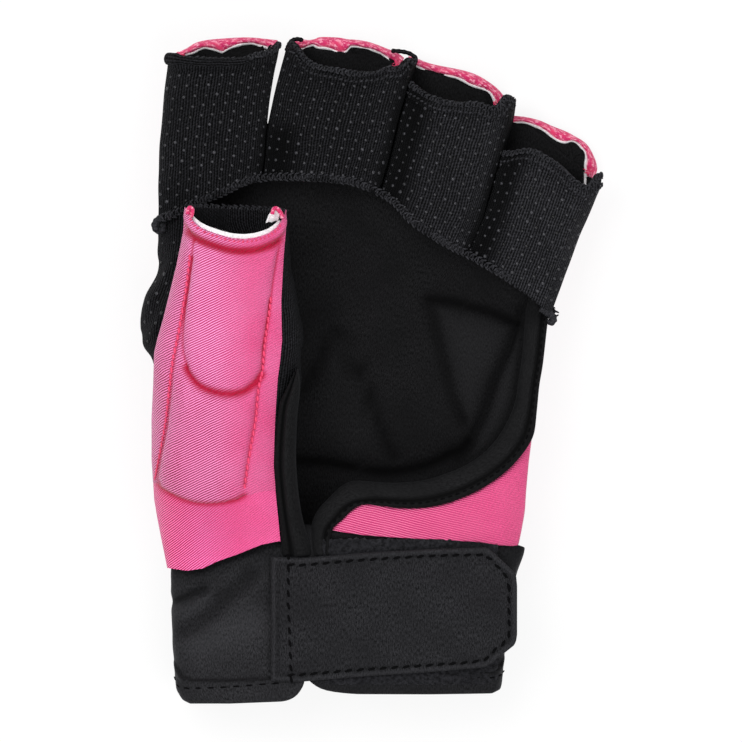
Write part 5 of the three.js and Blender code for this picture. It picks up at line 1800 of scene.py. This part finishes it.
# The gusset in pixels: its free edge, its upper and its lower edge; and the height it bulges to, in mm
GUSSET_LEFT = side_of([
    (157, 225), (157.3, 241), (157, 262), (153.5, 275), (149, 287), (144.5, 299), (141.5, 310), (140, 319),
    (139.3, 329), (142.5, 342), (147, 351), (151.5, 360), (155, 368),
])
GUSSET_TOP = level_of([(140, 233), (155, 225), (163, 219), (172, 214), (186, 208.5), (200, 206)])
GUSSET_LOW = plan([(0, 366)])[0][1]
GUSSET_HEIGHT = 22.6
# Angles round the gusset; below 0 it tucks under to the hand's side
GUSSET_TURNS = np.concatenate([[-30, -20, -10], np.linspace(0, 90, 22)])


def gusset_right(y):
    """The gusset's other edge, under the thumb"""
    return THUMB_LEFT(y) + 4.5


class GLOVE_OT_web(bpy.types.Operator):
    """Sews the knit gusset that bulges out beside the thumb, and the twill that joins thumb and hand"""

    bl_idname = "glove.web"
    bl_label = "Thumb gusset"

    def execute(self, context):
        grid = self.gusset()
        web = thick("thumb_gusset", grid, 1.0, "knit", subdivide=1)
        sew(web, "knit", "thumb_web", across=GUSSET_BEND)
        self.side_join()
        self.dots(grid)
        return {"FINISHED"}

    def gusset(self):
        """Rows of places from under the thumb round to the hand's side"""
        rows = 60
        grid = np.zeros((rows, len(GUSSET_TURNS), 3))
        for c, degrees in enumerate(GUSSET_TURNS):
            turn = math.radians(max(degrees, 0))
            tucked = max(-degrees, 0) / 30
            reach = 1 - math.cos(turn)
            high = 35.0
            for _ in range(6):
                high = float(GUSSET_TOP(GUSSET_LEFT(high) + (gusset_right(high) - GUSSET_LEFT(high)) * reach))
            for r, y in enumerate(np.linspace(GUSSET_LOW, high, rows)):
                x = GUSSET_LEFT(y) + (gusset_right(y) - GUSSET_LEFT(y)) * reach
                base = 11.5 + 2.5 * ease(20, 38, y)
                z = base + (GUSSET_HEIGHT - base) * math.sin(turn)
                x += (HAND_LEFT(y) + 1.0 - x) * tucked
                z += (LEFT_RIM(y) - 1.5 - z) * tucked
                grid[r, c] = (x, y, z)
        x, y = grid[..., 0], grid[..., 1]
        folds = 0.9 * np.sin(y * 0.62 - x * 1.1) * ease(-12, 20, y) * (1 - ease(26, 36, y))
        return grid + surface_normals(grid) * (0.35 * folds + wrinkle(grid, 6, 0.6, 11.0))[..., None]

    def side_join(self):
        """The twill that goes round from the thumb's outer side to the back of the hand"""
        ys = np.linspace(-52, 6, 59)[:, None]
        part = np.linspace(0, 1, 12)
        low = np.stack([HAND_LEFT(ys) + 0.9, ys, LEFT_RIM(ys) - 1.8], -1)
        high = thumb_place(-82, ys, 0.9)
        high[..., 2] = np.maximum(high[..., 2], 18.4)
        grid = low * (1 - part)[:, None] + high * part[:, None]
        grid[..., 0] -= 0.7 * np.sin(math.pi * part)
        join = thick("thumb_side_join", grid, 0.9, "back_twill", "lining", subdivide=1)
        sew(join, "twill", across=SIDE_BEND)

    def dots(self, grid):
        """Silicone grip dots over the gusset, in staggered rows"""
        chance = np.random.default_rng(3)
        spots = []
        for row, y in enumerate(np.arange(2, 36, 2.7)):
            for x in np.arange(GUSSET_LEFT(y) + 1.4 + 1.4 * (row % 2), gusset_right(y), 2.9):
                spots.append((x, y))
        spots = np.array(spots) + chance.normal(0, 0.15, (len(spots), 2))
        on, facing = Surface(grid).at(spots, 0.08)
        grades = np.clip(chance.normal(0.85, 0.2, len(spots)), 0.4, 1.2)
        heading = np.cross(facing, (0, 1, 0))
        dots = scatter("gusset_grip_dots", on, heading, facing, (1.1, 1.1, 0.5), "silicone", grades)
        sew(dots, "knit", across=GUSSET_BEND)


# The lower edge of the heel's twill, and the two edges of its binding, in pixels
HEEL_LOW = level_of([
    (316, 528), (329, 529.7), (346, 532.5), (365, 535), (400, 537.5), (430, 539.4), (484, 541.6),
    (519, 546), (560, 552),
])
HEEL_OUTSIDE = [
    (553, 294), (550, 308), (547, 329), (543, 364), (539.5, 385), (537, 410), (534.4, 432), (528.8, 445),
    (520, 457), (508, 469.6), (492, 482), (474.7, 492), (460, 498.5), (446.7, 503), (432, 506.5),
    (418.7, 507.9), (405, 508), (390.7, 507), (375, 505), (364.5, 504), (357, 506.5), (350, 511.5),
    (344, 518), (337, 524), (332, 530), (330, 540), (330, 556),
]
HEEL_INSIDE = [
    (529, 294), (526.5, 308), (524.5, 328), (522.5, 352), (518.5, 380), (515.7, 398.7), (512, 411),
    (506.4, 423), (499, 435.5), (489.6, 447), (480.5, 455.5), (471, 462), (459, 468.5), (446.7, 473),
    (432, 478), (418.7, 480.8), (405, 482.3), (390.7, 482.7), (372, 481.5), (356, 480.5), (346, 483),
    (337, 489.5), (329, 497.6), (320, 507), (313.5, 518), (310.5, 534), (313, 556),
]
HEEL_START = plan([(330, 0)])[0][0]
# Columns of the heel's flap, and how many more go down its outer side
HEEL_COLUMNS = 70
HEEL_SIDE_COLUMNS = 6
# The column that the ribs of the heel's twill are measured from
HEEL_MIDDLE = 30


def heel_height(place):
    """Height of the heel's cloth under its binding"""
    x, y = place
    return max(float(palm_height(min(x, HAND_RIGHT(y) - 0.8), y)), float(RIGHT_RIM(y)) + 0.6)


class GLOVE_OT_heel(bpy.types.Operator):
    """Sews the twill flap at the heel of the hand and its binding"""

    bl_idname = "glove.heel"
    bl_label = "Heel"

    def execute(self, context):
        self.binding()
        self.flap()
        return {"FINISHED"}

    def binding(self):
        """The stretch binding of the palm opening, and its stitches 1.7 mm from the outer edge"""
        outside, inner = (smooth_line(plan(line), 150) for line in (HEEL_OUTSIDE, HEEL_INSIDE))
        heights = np.array([heel_height(0.6 * a + 0.4 * b) + 1.0 for a, b in zip(outside, inner)])
        heights -= 5.5 * (1 - ease(2, 11, np.linalg.norm(outside - outside[0], axis=1)))
        piece, surface, top = roll_band("heel_binding_roll", outside, inner, heights, 1.6, 1.2, 2.6)
        sew(piece, "binding", "heel_binding")
        row = 60
        column = np.abs(np.linalg.norm(top[row, :, :2] - outside[row], axis=1) - 1.7).argmin()
        path, facing = surface.at(top[3:-8, column, :2], 0.02)
        sew(stitch_row("heel_binding_stitches", "heel_binding", path, facing), "binding")

    def flap(self):
        """The padded twill between the binding and the cuff, turned down at its outer side"""
        line = smooth_line((plan(HEEL_OUTSIDE) * 0.6 + plan(HEEL_INSIDE) * 0.4)[5:-2], 300)
        line = line[np.argsort(line[:, 0])]
        xs = np.linspace(HEEL_START, HAND_RIGHT(-30) - 0.4, HEEL_COLUMNS)
        columns = HEEL_COLUMNS + HEEL_SIDE_COLUMNS
        grid = np.zeros((30, columns, 3))
        for c, x in enumerate(xs):
            low = float(HEEL_LOW(x))
            ys = np.linspace(low, max(float(np.interp(x, *line.T)), low + 0.6), len(grid))
            stretch = (HAND_RIGHT(ys) - 0.9 - xs[0]) / (xs[-1] - xs[0])
            place = xs[0] + (x - xs[0]) * stretch
            grid[:, c] = np.stack([place, ys, palm_height(place, ys)], -1)
        for c in range(HEEL_SIDE_COLUMNS):
            grid[:, HEEL_COLUMNS + c] = grid[:, HEEL_COLUMNS - 1] + (0.15, 0, -0.9 * (c + 1))
        edge_in = distance_to(smooth_line(plan(HEEL_OUTSIDE), 120), grid)
        seam_in = np.abs(grid[..., 1] - HEEL_LOW(grid[..., 0]))
        band = inside(np.concatenate([plan(HEEL_OUTSIDE), plan(HEEL_INSIDE)[::-1]]), grid)
        puff = (1 - np.exp(-edge_in / 2.5)) * ~band + 0.5 * (1 - np.exp(-seam_in / 2.0)) - 0.9 * band
        puff *= 1 - ease(HEEL_COLUMNS - 9, HEEL_COLUMNS - 1, np.arange(columns))
        grid += surface_normals(grid) * (puff + wrinkle(grid, 13, 0.5, 1.0))[..., None]
        flap = thick("heel_twill", grid, 2.2, "heel_twill", subdivide=1, uv=lay_flat(grid, HEEL_MIDDLE))
        sew(flap, "twill", "heel_flap", fill=0.6)


# In mm: the x of the slit between the cuff's two palm sides, and the y at which their angles are taken
SLIT = plan([(305, 0)])[0][0]
CUFF_HALF_WAY = -65.0
# Edges of the cuff's sides in pixels
CUFF_LEFT_LOW = level_of([
    (160, 660), (171, 680), (177, 692), (184, 701), (191.5, 704.5), (229.7, 704.6), (284.5, 702.4),
    (294, 699.2), (300, 694), (304, 687), (308, 678), (312, 670),
])
CUFF_RIGHT_LOW = level_of([
    (300, 672), (307, 680), (313, 685.8), (320, 690), (328, 692.4), (347.7, 695), (430, 695.3),
    (491, 694.6), (499.6, 690.5), (503.5, 682.5), (520, 660),
])
CUFF_RIGHT_HIGH = level_of([
    (290, 522), (329, 527), (365, 532), (430, 536), (484, 538.5), (505, 542.5), (519, 547), (560, 551),
])
CUFF_BACK_LOW = level_of([
    (100, 696), (270, 695), (284, 690), (294, 683), (302, 676), (306, 672), (312, 675), (322, 682),
    (336, 688.5), (360, 690), (700, 690),
])
CUFF_BACK_HIGH = level_of([(100, 563), (700, 563)])
# Creases of the thumb side in pixels, with their depth and width in mm
CUFF_CREASES = [
    ([(168, 602), (175, 600.5), (184, 597.5), (193, 593), (205, 588)], 1.5, 1.2),
    ([(183, 632), (200, 621), (213, 610), (225, 598), (238, 587), (250, 574)], 1.3, 1.9),
    ([(240, 640), (262, 620), (272, 600)], 0.5, 2.4),
]
# Lines near them in pixels where painted shade makes the cloth darker, or painted light makes it lighter
# where below 0, with their width in mm
CUFF_SHADES = [
    ([(172, 601), (184, 597.5), (193, 593), (204, 588.5)], 0.6, 0.9),
    ([(184, 632), (200, 621), (213, 610), (225, 598), (238, 587), (250, 574)], 0.5, 1.9),
    ([(174, 613), (191, 609.5), (208, 601)], -0.35, 1.8),
    ([(200, 645), (225, 634), (250, 622)], -0.45, 5.0),
]
# Rows of a palm side, the row that its stitches follow, and the cloth's thickness in mm
CUFF_ROWS = 66
CUFF_STITCH_ROW = 7
CUFF_THICKNESS = 1.4


def turned_hem(from_edge):
    """Height of a hem turned under and stitched: a rounded fold, a stitch line and a step up to it"""
    fold = np.clip(1 - np.clip((1.6 - from_edge) / 1.6, 0, 1) ** 2, 0, 1) ** 0.5
    return 1.15 * fold * (1 - ease(6.3, 6.9, from_edge)) - 0.35 * ridge(from_edge, 0.6, 4.4)


def cuff_angle(x):
    """Angle on the hand's girth of a place on the cuff's palm side"""
    share = side_share(x, HAND_LEFT(CUFF_HALF_WAY), HAND_RIGHT(CUFF_HALF_WAY))
    return math.degrees(math.asin(np.sign(share) * abs(share) ** (PALM_SQUARENESS / 2)))


class GLOVE_OT_cuff(bpy.types.Operator):
    """Sews the cuff: its two palm sides with their turned hems, the slit between them, and its back"""

    bl_idname = "glove.cuff"
    bl_label = "Cuff"

    def execute(self, context):
        left = np.concatenate([[-104, -97], np.linspace(-90, cuff_angle(SLIT + 0.5), 60)])
        right = np.concatenate([np.linspace(cuff_angle(SLIT - 0.1), 90, 64), [97, 104]])
        self.palm_side("thumb_side", left, CUFF_LEFT_LOW, CUFF_SEAM, 3.0)
        self.palm_side("heel_side", right, CUFF_RIGHT_LOW, CUFF_RIGHT_HIGH, 0.0)
        self.back()
        return {"FINISHED"}

    def palm_side(self, side, angles, low, high, tucked):
        """One palm side of the cuff with its hem, creases and stitches; tucked is how far it goes on past its
        upper seam, in mm"""
        grid = hand_grid(angles, low, moved(high, tucked), CUFF_ROWS)
        from_hem = grid[..., 1] - low(grid[..., 0])
        relief = turned_hem(from_hem) + wrinkle(grid, 15, 0.9, 7.0) * ease(7, 14, from_hem)
        if side == "thumb_side":
            for line, depth, width in CUFF_CREASES:
                away = distance_to(smooth_line(plan(line), 40), grid)
                relief -= depth * (ridge(away, width) - 0.4 * ridge(away, width, 2.2 * width))
        seam_in = high(grid[..., 0]) - grid[..., 1]
        relief -= 0.7 * ridge(np.maximum(seam_in, 0), 1.2)
        relief *= 1 - 0.8 * ease(66, 88, np.abs(angles))
        grid += surface_normals(grid) * relief[..., None]
        # Painted shade: a dark line under the hem's fold, and darker cloth near the upper seam
        folds = 0.8 * ridge(from_hem, 0.5, 6.6) + 0.45 * np.exp(-np.abs(seam_in) / 4)
        if side == "thumb_side":
            for line, dark, width in CUFF_SHADES:
                folds += dark * ridge(distance_to(smooth_line(plan(line), 40), grid), width)
        else:
            grid[..., 0] += 1.45 * ridge(seam_in, 6.5) * ease(40, 80, angles)
            # Painted shade over the whole heel side
            folds += 0.45
        cuff = thick(f"cuff_{side}_cloth", grid, CUFF_THICKNESS, "cuff", subdivide=1, depth=folds)
        sew(cuff, "cuff", f"cuff_{side}", f"cuff_hem_{side}")
        path, facing = Surface(grid).at(grid[CUFF_STITCH_ROW, 4:-3, :2] + (0, 0.3), 0.05)
        sew(stitch_row(f"cuff_{side}_stitches", "cuff", path, facing), "cuff")

    def back(self):
        """The back of the cuff; it has more columns where its edge rises to the slit's notch"""
        shares = [np.linspace(-0.88, 0.06, 22), np.linspace(0.09, 0.36, 28), np.linspace(0.4, 0.88, 12)]
        shares = np.concatenate(shares)
        flat = 180 + np.degrees(np.arcsin(np.abs(shares) ** (BACK_SQUARENESS / 2))) * np.sign(shares)
        angles = np.concatenate([np.linspace(90, 128, 10), flat, np.linspace(232, 270, 10)])
        grid = hand_grid(angles, CUFF_BACK_LOW, CUFF_BACK_HIGH, 40, 0.9)
        from_hem = grid[..., 1] - CUFF_BACK_LOW(grid[..., 0])
        relief = turned_hem(from_hem) + wrinkle(grid, 14, 0.7, 2.5) * ease(7, 14, from_hem)
        grid += surface_normals(grid) * relief[..., None]
        back = thick("cuff_back_cloth", grid, CUFF_THICKNESS, "cuff", subdivide=1)
        sew(back, "cuff", "cuff_back", "cuff_hem_back")


# The strap in pixels: its edges, its two ends and its rows of stitches
STRAP_TOP = level_of([
    (260, 556), (271, 556), (300, 557.9), (365, 552.4), (430, 548.8), (486, 547), (490, 549.5),
    (495, 553.5), (514, 571.5), (516, 575), (517, 586),
])
STRAP_BOTTOM = level_of([
    (260, 681), (273.6, 681), (300, 681.5), (365, 676), (430, 671.7), (484, 667), (490, 663.5), (504, 653),
    (514, 645), (516, 641), (517, 634),
])
STRAP_ENDS = plan([(271, 0), (517, 0)])[:, 0]
STRAP_STITCHES = {
    "strap_stitches_low": [
        (508.5, 588), (508.5, 634), (505, 641), (495, 649), (481, 660), (430, 664.7), (365, 669),
        (300, 674.3), (291, 674.6),
    ],
    "strap_stitches_high": [
        (508.5, 586), (505.5, 576), (489, 558), (482, 554.7), (430, 555.8), (365, 559.6), (300, 565),
        (291, 564.5),
    ],
    "strap_stitches_end": [(288.5, 558), (288.5, 600), (290, 640), (291.5, 679)],
}
# The two bodies and places in mm beside the strap's sewn end, given to sew; the strap is not bent by them
STRAP_BEND = ("hand", "strap", (-21.5, -65, 26), (-16.5, -65, 26))
# The strips: their upper left and lower right corners in pixels, their body and node, and thickness in mm
STRIPS = {
    "loop_strip": ((320, 539), (498, 684), "hand", "cuff_loop_patch", 1.2),
    "hook_strip": ((435, 566), (507, 655), "strap", "strap_hook_patch", 0.7),
}
# Past this y, in mm, the loop strip stays as high as the palm side is there
STRIP_LEVEL = -47.5


class GLOVE_OT_strap(bpy.types.Operator):
    """Cuts the wrist strap, stitches it round its edge, and lays its hook and loop strips"""

    bl_idname = "glove.strap"
    bl_label = "Wrist strap"

    def execute(self, context):
        start, end = STRAP_ENDS
        tip = 0.87 + 0.13 * np.sin(np.linspace(0.07, math.pi / 2, 14))
        xs = start + (end - start) * np.concatenate([np.linspace(0, 0.87, 66), tip])
        shares = 0.5 - 0.5 * np.cos(np.linspace(0, math.pi, 34))[:, None]
        low, high = STRAP_BOTTOM(xs), STRAP_TOP(xs)
        grid = np.stack(np.broadcast_arrays(xs, low + (high - low) * shares, strap_height(xs)), -1)
        rim = np.concatenate([grid[0], grid[::-1, -1], grid[-1, ::-1], grid[:, 0]])
        away = distance_to(rim[:, :2], grid)
        edge = 0.9 * (1 - np.exp(-away / 0.5)) - 0.25 * ridge(away, 0.7, 1.9)
        grid[..., 2] += edge + wrinkle(grid, 22, 0.9, 3.0) + wrinkle(grid, 7, 0.25, 5.0)
        lower = grid.copy()
        lower[..., 2] -= 0.7 + 1.2 * (1 - np.exp(-away / 0.6))
        # Painted shade along the stitch groove, and painted highlight along the raised rim
        folds = 0.3 * ridge(away, 0.6, 1.9) - 0.45 * ridge(away, 0.5, 0.7)
        strap = wall("wrist_strap", grid, lower, "strap", depth=folds)
        sew(strap, "strap", "strap_band", "strap_anchor", across=STRAP_BEND)
        surface = Surface(grid)
        for name, line in STRAP_STITCHES.items():
            path, facing = surface.at(smooth_line(plan(line), 200), 0.08)
            sew(stitch_row(name, "strap", path, facing), "strap", across=STRAP_BEND)
        self.strips(Surface(lower))
        return {"FINISHED"}

    def strips(self, underside):
        """The fuzzy loop strip on the cuff, and the hook strip within the edges of the strap's underside"""
        part = np.linspace(0, 1, 50)[:, None]
        for name, (first, last, body, node, thickness) in STRIPS.items():
            (start, high), (end, low) = plan([first, last])
            xs = np.linspace(start, end, 60)
            if name == "hook_strip":
                low, high = np.maximum(low, STRAP_BOTTOM(xs) + 2.6), np.minimum(high, STRAP_TOP(xs) - 2.6)
            flat = np.stack(np.broadcast_arrays(xs, low * (1 - part) + high * part), -1)
            if name == "hook_strip":
                on, _ = underside.at(flat.reshape(-1, 2), 0.0)
                grid = with_height(flat, on[:, 2].reshape(flat.shape[:2]) - 0.1)
            else:
                ys = np.minimum(flat[..., 1], STRIP_LEVEL)
                grid = with_height(flat, palm_height(flat[..., 0], ys) + 1.3)
                fuzz = [noise.noise(Vector(place * 1.1)) for place in grid.reshape(-1, 3)]
                grid[..., 2] += 0.55 * np.reshape(fuzz, flat.shape[:2])
            sew(thick(name, grid, thickness, "loop"), "patch", node, body=body)


def strap_height(x):
    """Height of the strap's top, which lies over the cuff and falls off at its free end"""
    share = (x + 19) / 58
    return 26.6 + 0.6 * ease(0, 0.6, share) - 3.2 * ease(0.78, 1.12, share)


# Corners of the pads over the hand's back, in mm, and how far every pad stands out from it
BACK_PADS = {
    "index_metacarpal_pad": [(-49.8, 36), (-24.9, 39.6), (-14.3, 18), (-21.2, -7.2), (-49.8, -7.2)],
    "middle_metacarpal_pad": [(-20.6, 37.8), (-6.2, 36), (-5, 19.3), (-11.2, 19.3)],
    "ring_metacarpal_pad": [(-3.1, 36), (10.6, 29.7), (14.3, 19.3), (27.4, -9), (9.3, -18), (-1.9, 19.3)],
    "little_metacarpal_pad": [(17.4, 23.4), (37.4, 15.3), (41.1, 0), (30.5, -10.8)],
    "middle_hand_pad": [(-12.5, 15.3), (-5, 15.3), (6.2, -18), (-16.2, -21.6)],
    "thumb_side_pad": [(-49.8, -11.7), (-20.6, -11.7), (-19.9, -25.2), (-46.1, -30.6)],
    "outer_hand_pad": [(12.5, -19.8), (29.9, -14.4), (37.4, -20.7), (36.1, -30.6), (12.5, -28.8)],
    "wrist_pad": [(-42.4, -34.2), (-17.4, -27.9), (8.7, -33.3), (34.9, -35.1), (33.6, -48.6), (-42.4, -48.6)],
}
PAD_HEIGHT = 3.2
# How far a pad goes into the cloth under it
PAD_SUNK = 0.2
# Width of each finger's back, and how far the back reaches past the crease, in mm, and the pad's margin
PAD_SPANS = {"index": (28.0, 37.1), "middle": (31.4, 34.7), "ring": (28.0, 35.7), "little": (23.7, 32.0)}
PAD_MARGIN = 4.5
# The rings of a pad: share of its outline and share of its height
PAD_RINGS = [
    (1.0, 0.0), (1.0, 0.12), (0.985, 0.42), (0.95, 0.68), (0.89, 0.84), (0.8, 0.93), (0.6, 0.985),
    (0.35, 1.0), (0.12, 1.0),
]


def soft_outline(corners, count=64, radius=2.6):
    """Closed outline with rounded corners"""
    corners = np.asarray(corners, float)
    points = []
    for before, corner, after in zip(np.roll(corners, 1, 0), corners, np.roll(corners, -1, 0)):
        sides = np.stack([before, after]) - corner
        into, away = unit(sides) * np.minimum(radius, np.linalg.norm(sides, axis=1, keepdims=True) * 0.4)
        for t in np.linspace(0, 1, 5):
            points.append(corner + into * (1 - t) ** 2 + away * t**2)
    return even(np.array(points + points[:1]), count + 1)[:-1]


def pad_piece(name, outline, base, height):
    """A moulded foam pad under twill: crowned, with a seam drawn in round its edge"""
    middle = outline.mean(0)
    rings = [
        with_height(middle + (outline - middle) * share, base - height * rise) for share, rise in PAD_RINGS
    ]
    count = len(outline)
    vertices = np.concatenate([*rings, [[*middle, base - height]], [[*middle, base]]])
    tip, floor = len(vertices) - 2, len(vertices) - 1
    last = (len(rings) - 1) * count
    faces = []
    for r, c in np.ndindex(len(rings) - 1, count):
        n = (c + 1) % count
        faces.append([r * count + c, (r + 1) * count + c, (r + 1) * count + n, r * count + n])
    for c in range(count):
        n = (c + 1) % count
        faces += [[last + c, tip, last + n], [n, floor, c]]
    if np.cross(outline[1] - outline[0], outline[0] - middle) > 0:
        faces = [face[::-1] for face in faces]
    uvs = [[vertices[i][:2] for i in face] for face in faces]
    piece = new_object(name, vertices, faces, uvs, ["back_twill"], [0] * len(faces))
    smooth_out(piece, 1)
    return piece


class GLOVE_OT_pads(bpy.types.Operator):
    """Moulds the foam pads over the back of the hand and the fingers"""

    bl_idname = "glove.pads"
    bl_label = "Back pads"

    def execute(self, context):
        for name, corners in BACK_PADS.items():
            self.pad(name, corners, "hand")
        for name, (width, reach) in PAD_SPANS.items():
            finger = Finger(name)
            half = width / 2 - PAD_MARGIN
            for node, low, high, body in (
                (f"{name}_knuckle_pad", -13, -0.9, "hand"),
                (f"{name}_pad", 7, reach - PAD_MARGIN, finger.body),
            ):
                # Places across and along the finger
                places = ((-half, low), (half, low), (half, high), (-half, high))
                corners = [finger.crease + finger.side * a + finger.axis * b for a, b in places]
                self.pad(node, corners, body)
        return {"FINISHED"}

    def pad(self, node, corners, body):
        """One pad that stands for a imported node"""
        outline = soft_outline(corners)
        piece = pad_piece(f"{node}_twill", outline, HAND_FLOOR + PAD_SUNK, PAD_HEIGHT + PAD_SUNK)
        sew(piece, "pad", node, body=body, fill=0.8)


class GLOVE_OT_studio(bpy.types.Operator):
    """Sets the floor, the soft lamps, the white surround and the camera over the palm"""

    bl_idname = "glove.studio"
    bl_label = "Studio"

    def execute(self, context):
        scene = context.scene
        scene.view_settings.view_transform = "Standard"
        world = bpy.data.worlds.new("Studio")
        scene.world = world
        world.use_nodes = True
        w = Wires(world.node_tree)
        sky = world.node_tree.nodes["Background"]
        sky.inputs["Color"].default_value = (1, 1, 1, 1)
        rays = w.nodes.new("ShaderNodeLightPath")
        seen = w.math("MAXIMUM", rays.outputs["Is Camera Ray"], rays.outputs["Is Transmission Ray"])
        w.links.new(w.spread(seen, 0, 1, 0.5, 1.0), sky.inputs["Strength"])

        bpy.ops.mesh.primitive_plane_add(size=8, location=(0, 0, 0))
        floor = context.active_object
        floor.name = "floor"
        material = bpy.data.materials.new("Floor")
        material.use_nodes = True
        shader = material.node_tree.nodes["Principled BSDF"]
        shader.inputs["Base Color"].default_value = (0.95, 0.95, 0.95, 1)
        shader.inputs["Roughness"].default_value = 0.9
        shader.inputs["Specular IOR Level"].default_value = 0.1
        f = Wires(material.node_tree)
        rays = f.nodes.new("ShaderNodeLightPath")
        seen = f.math("MAXIMUM", rays.outputs["Is Camera Ray"], rays.outputs["Is Glossy Ray"])
        glow = f.nodes.new("ShaderNodeEmission")
        both = f.nodes.new("ShaderNodeMixShader")
        f.links.new(f.math("MULTIPLY", seen, 0.85), both.inputs[0])
        f.links.new(shader.outputs[0], both.inputs[1])
        f.links.new(glow.outputs[0], both.inputs[2])
        clear = f.nodes.new("ShaderNodeBsdfTransparent")
        one_sided = f.nodes.new("ShaderNodeMixShader")
        f.links.new(f.nodes.new("ShaderNodeNewGeometry").outputs["Backfacing"], one_sided.inputs[0])
        f.links.new(both.outputs[0], one_sided.inputs[1])
        f.links.new(clear.outputs[0], one_sided.inputs[2])
        f.links.new(one_sided.outputs[0], material.node_tree.nodes["Material Output"].inputs[0])
        floor.data.materials.append(material)

        for name, place, size, power in (
            ("key lamp", (-0.45, 0.35, 1.2), 0.7, 8.2),
            ("fill lamp", (0.4, -0.6, 1.2), 0.9, 8.0),
            ("rim lamp", (0.1, 1.1, 0.7), 0.6, 2.0),
        ):
            light = bpy.data.lights.new(name, "AREA")
            light.size = size
            light.energy = power
            lamp = bpy.data.objects.new(name, light)
            scene.collection.objects.link(lamp)
            lamp.location = place
            lamp.rotation_euler = (-Vector(place)).to_track_quat("-Z", "Y").to_euler()

        away = 5.0
        camera = bpy.data.cameras.new("camera")
        camera.sensor_width = 36
        focus = 0.02
        camera.lens = 36 * (away - focus) / (PHOTO_SIDE * PIXEL * MM)
        camera.clip_end = 20
        eye = bpy.data.objects.new("camera", camera)
        scene.collection.objects.link(eye)
        shift = PIXEL * MM * 0.5
        eye.location = (shift, -shift, away)
        scene.camera = eye
        return {"FINISHED"}


class GLOVE_PT_panel(bpy.types.Panel):
    """Sizes, colours and steps of the glove"""

    bl_idname = "GLOVE_PT_panel"
    bl_label = "Hockey glove"
    bl_space_type = "VIEW_3D"
    bl_region_type = "UI"
    bl_category = "Glove"

    def draw(self, context):
        layout = self.layout
        for group in (context.scene.glove_sizes, context.scene.glove_colours):
            box = layout.box()
            for name in group.bl_rna.properties.keys():
                if name not in ("rna_type", "name"):
                    box.prop(group, name)
        for operator in STEPS:
            layout.operator(operator.bl_idname)


STEPS = (
    GLOVE_OT_materials,
    GLOVE_OT_studio,
    GLOVE_OT_hand,
    GLOVE_OT_fingers,
    GLOVE_OT_thumb,
    GLOVE_OT_web,
    GLOVE_OT_heel,
    GLOVE_OT_cuff,
    GLOVE_OT_strap,
    GLOVE_OT_pads,
)
CLASSES = (GloveSizes, GloveColours, *STEPS, GLOVE_PT_panel)


def register():
    for made in CLASSES:
        bpy.utils.register_class(made)
    bpy.types.Scene.glove_sizes = bpy.props.PointerProperty(type=GloveSizes)
    bpy.types.Scene.glove_colours = bpy.props.PointerProperty(type=GloveColours)


def unregister():
    del bpy.types.Scene.glove_colours
    del bpy.types.Scene.glove_sizes
    for made in reversed(CLASSES):
        bpy.utils.unregister_class(made)


def main():
    register()
    for step in STEPS:
        family, name = step.bl_idname.split(".")
        getattr(getattr(bpy.ops, family), name)()


if __name__ == "__main__":
    main()
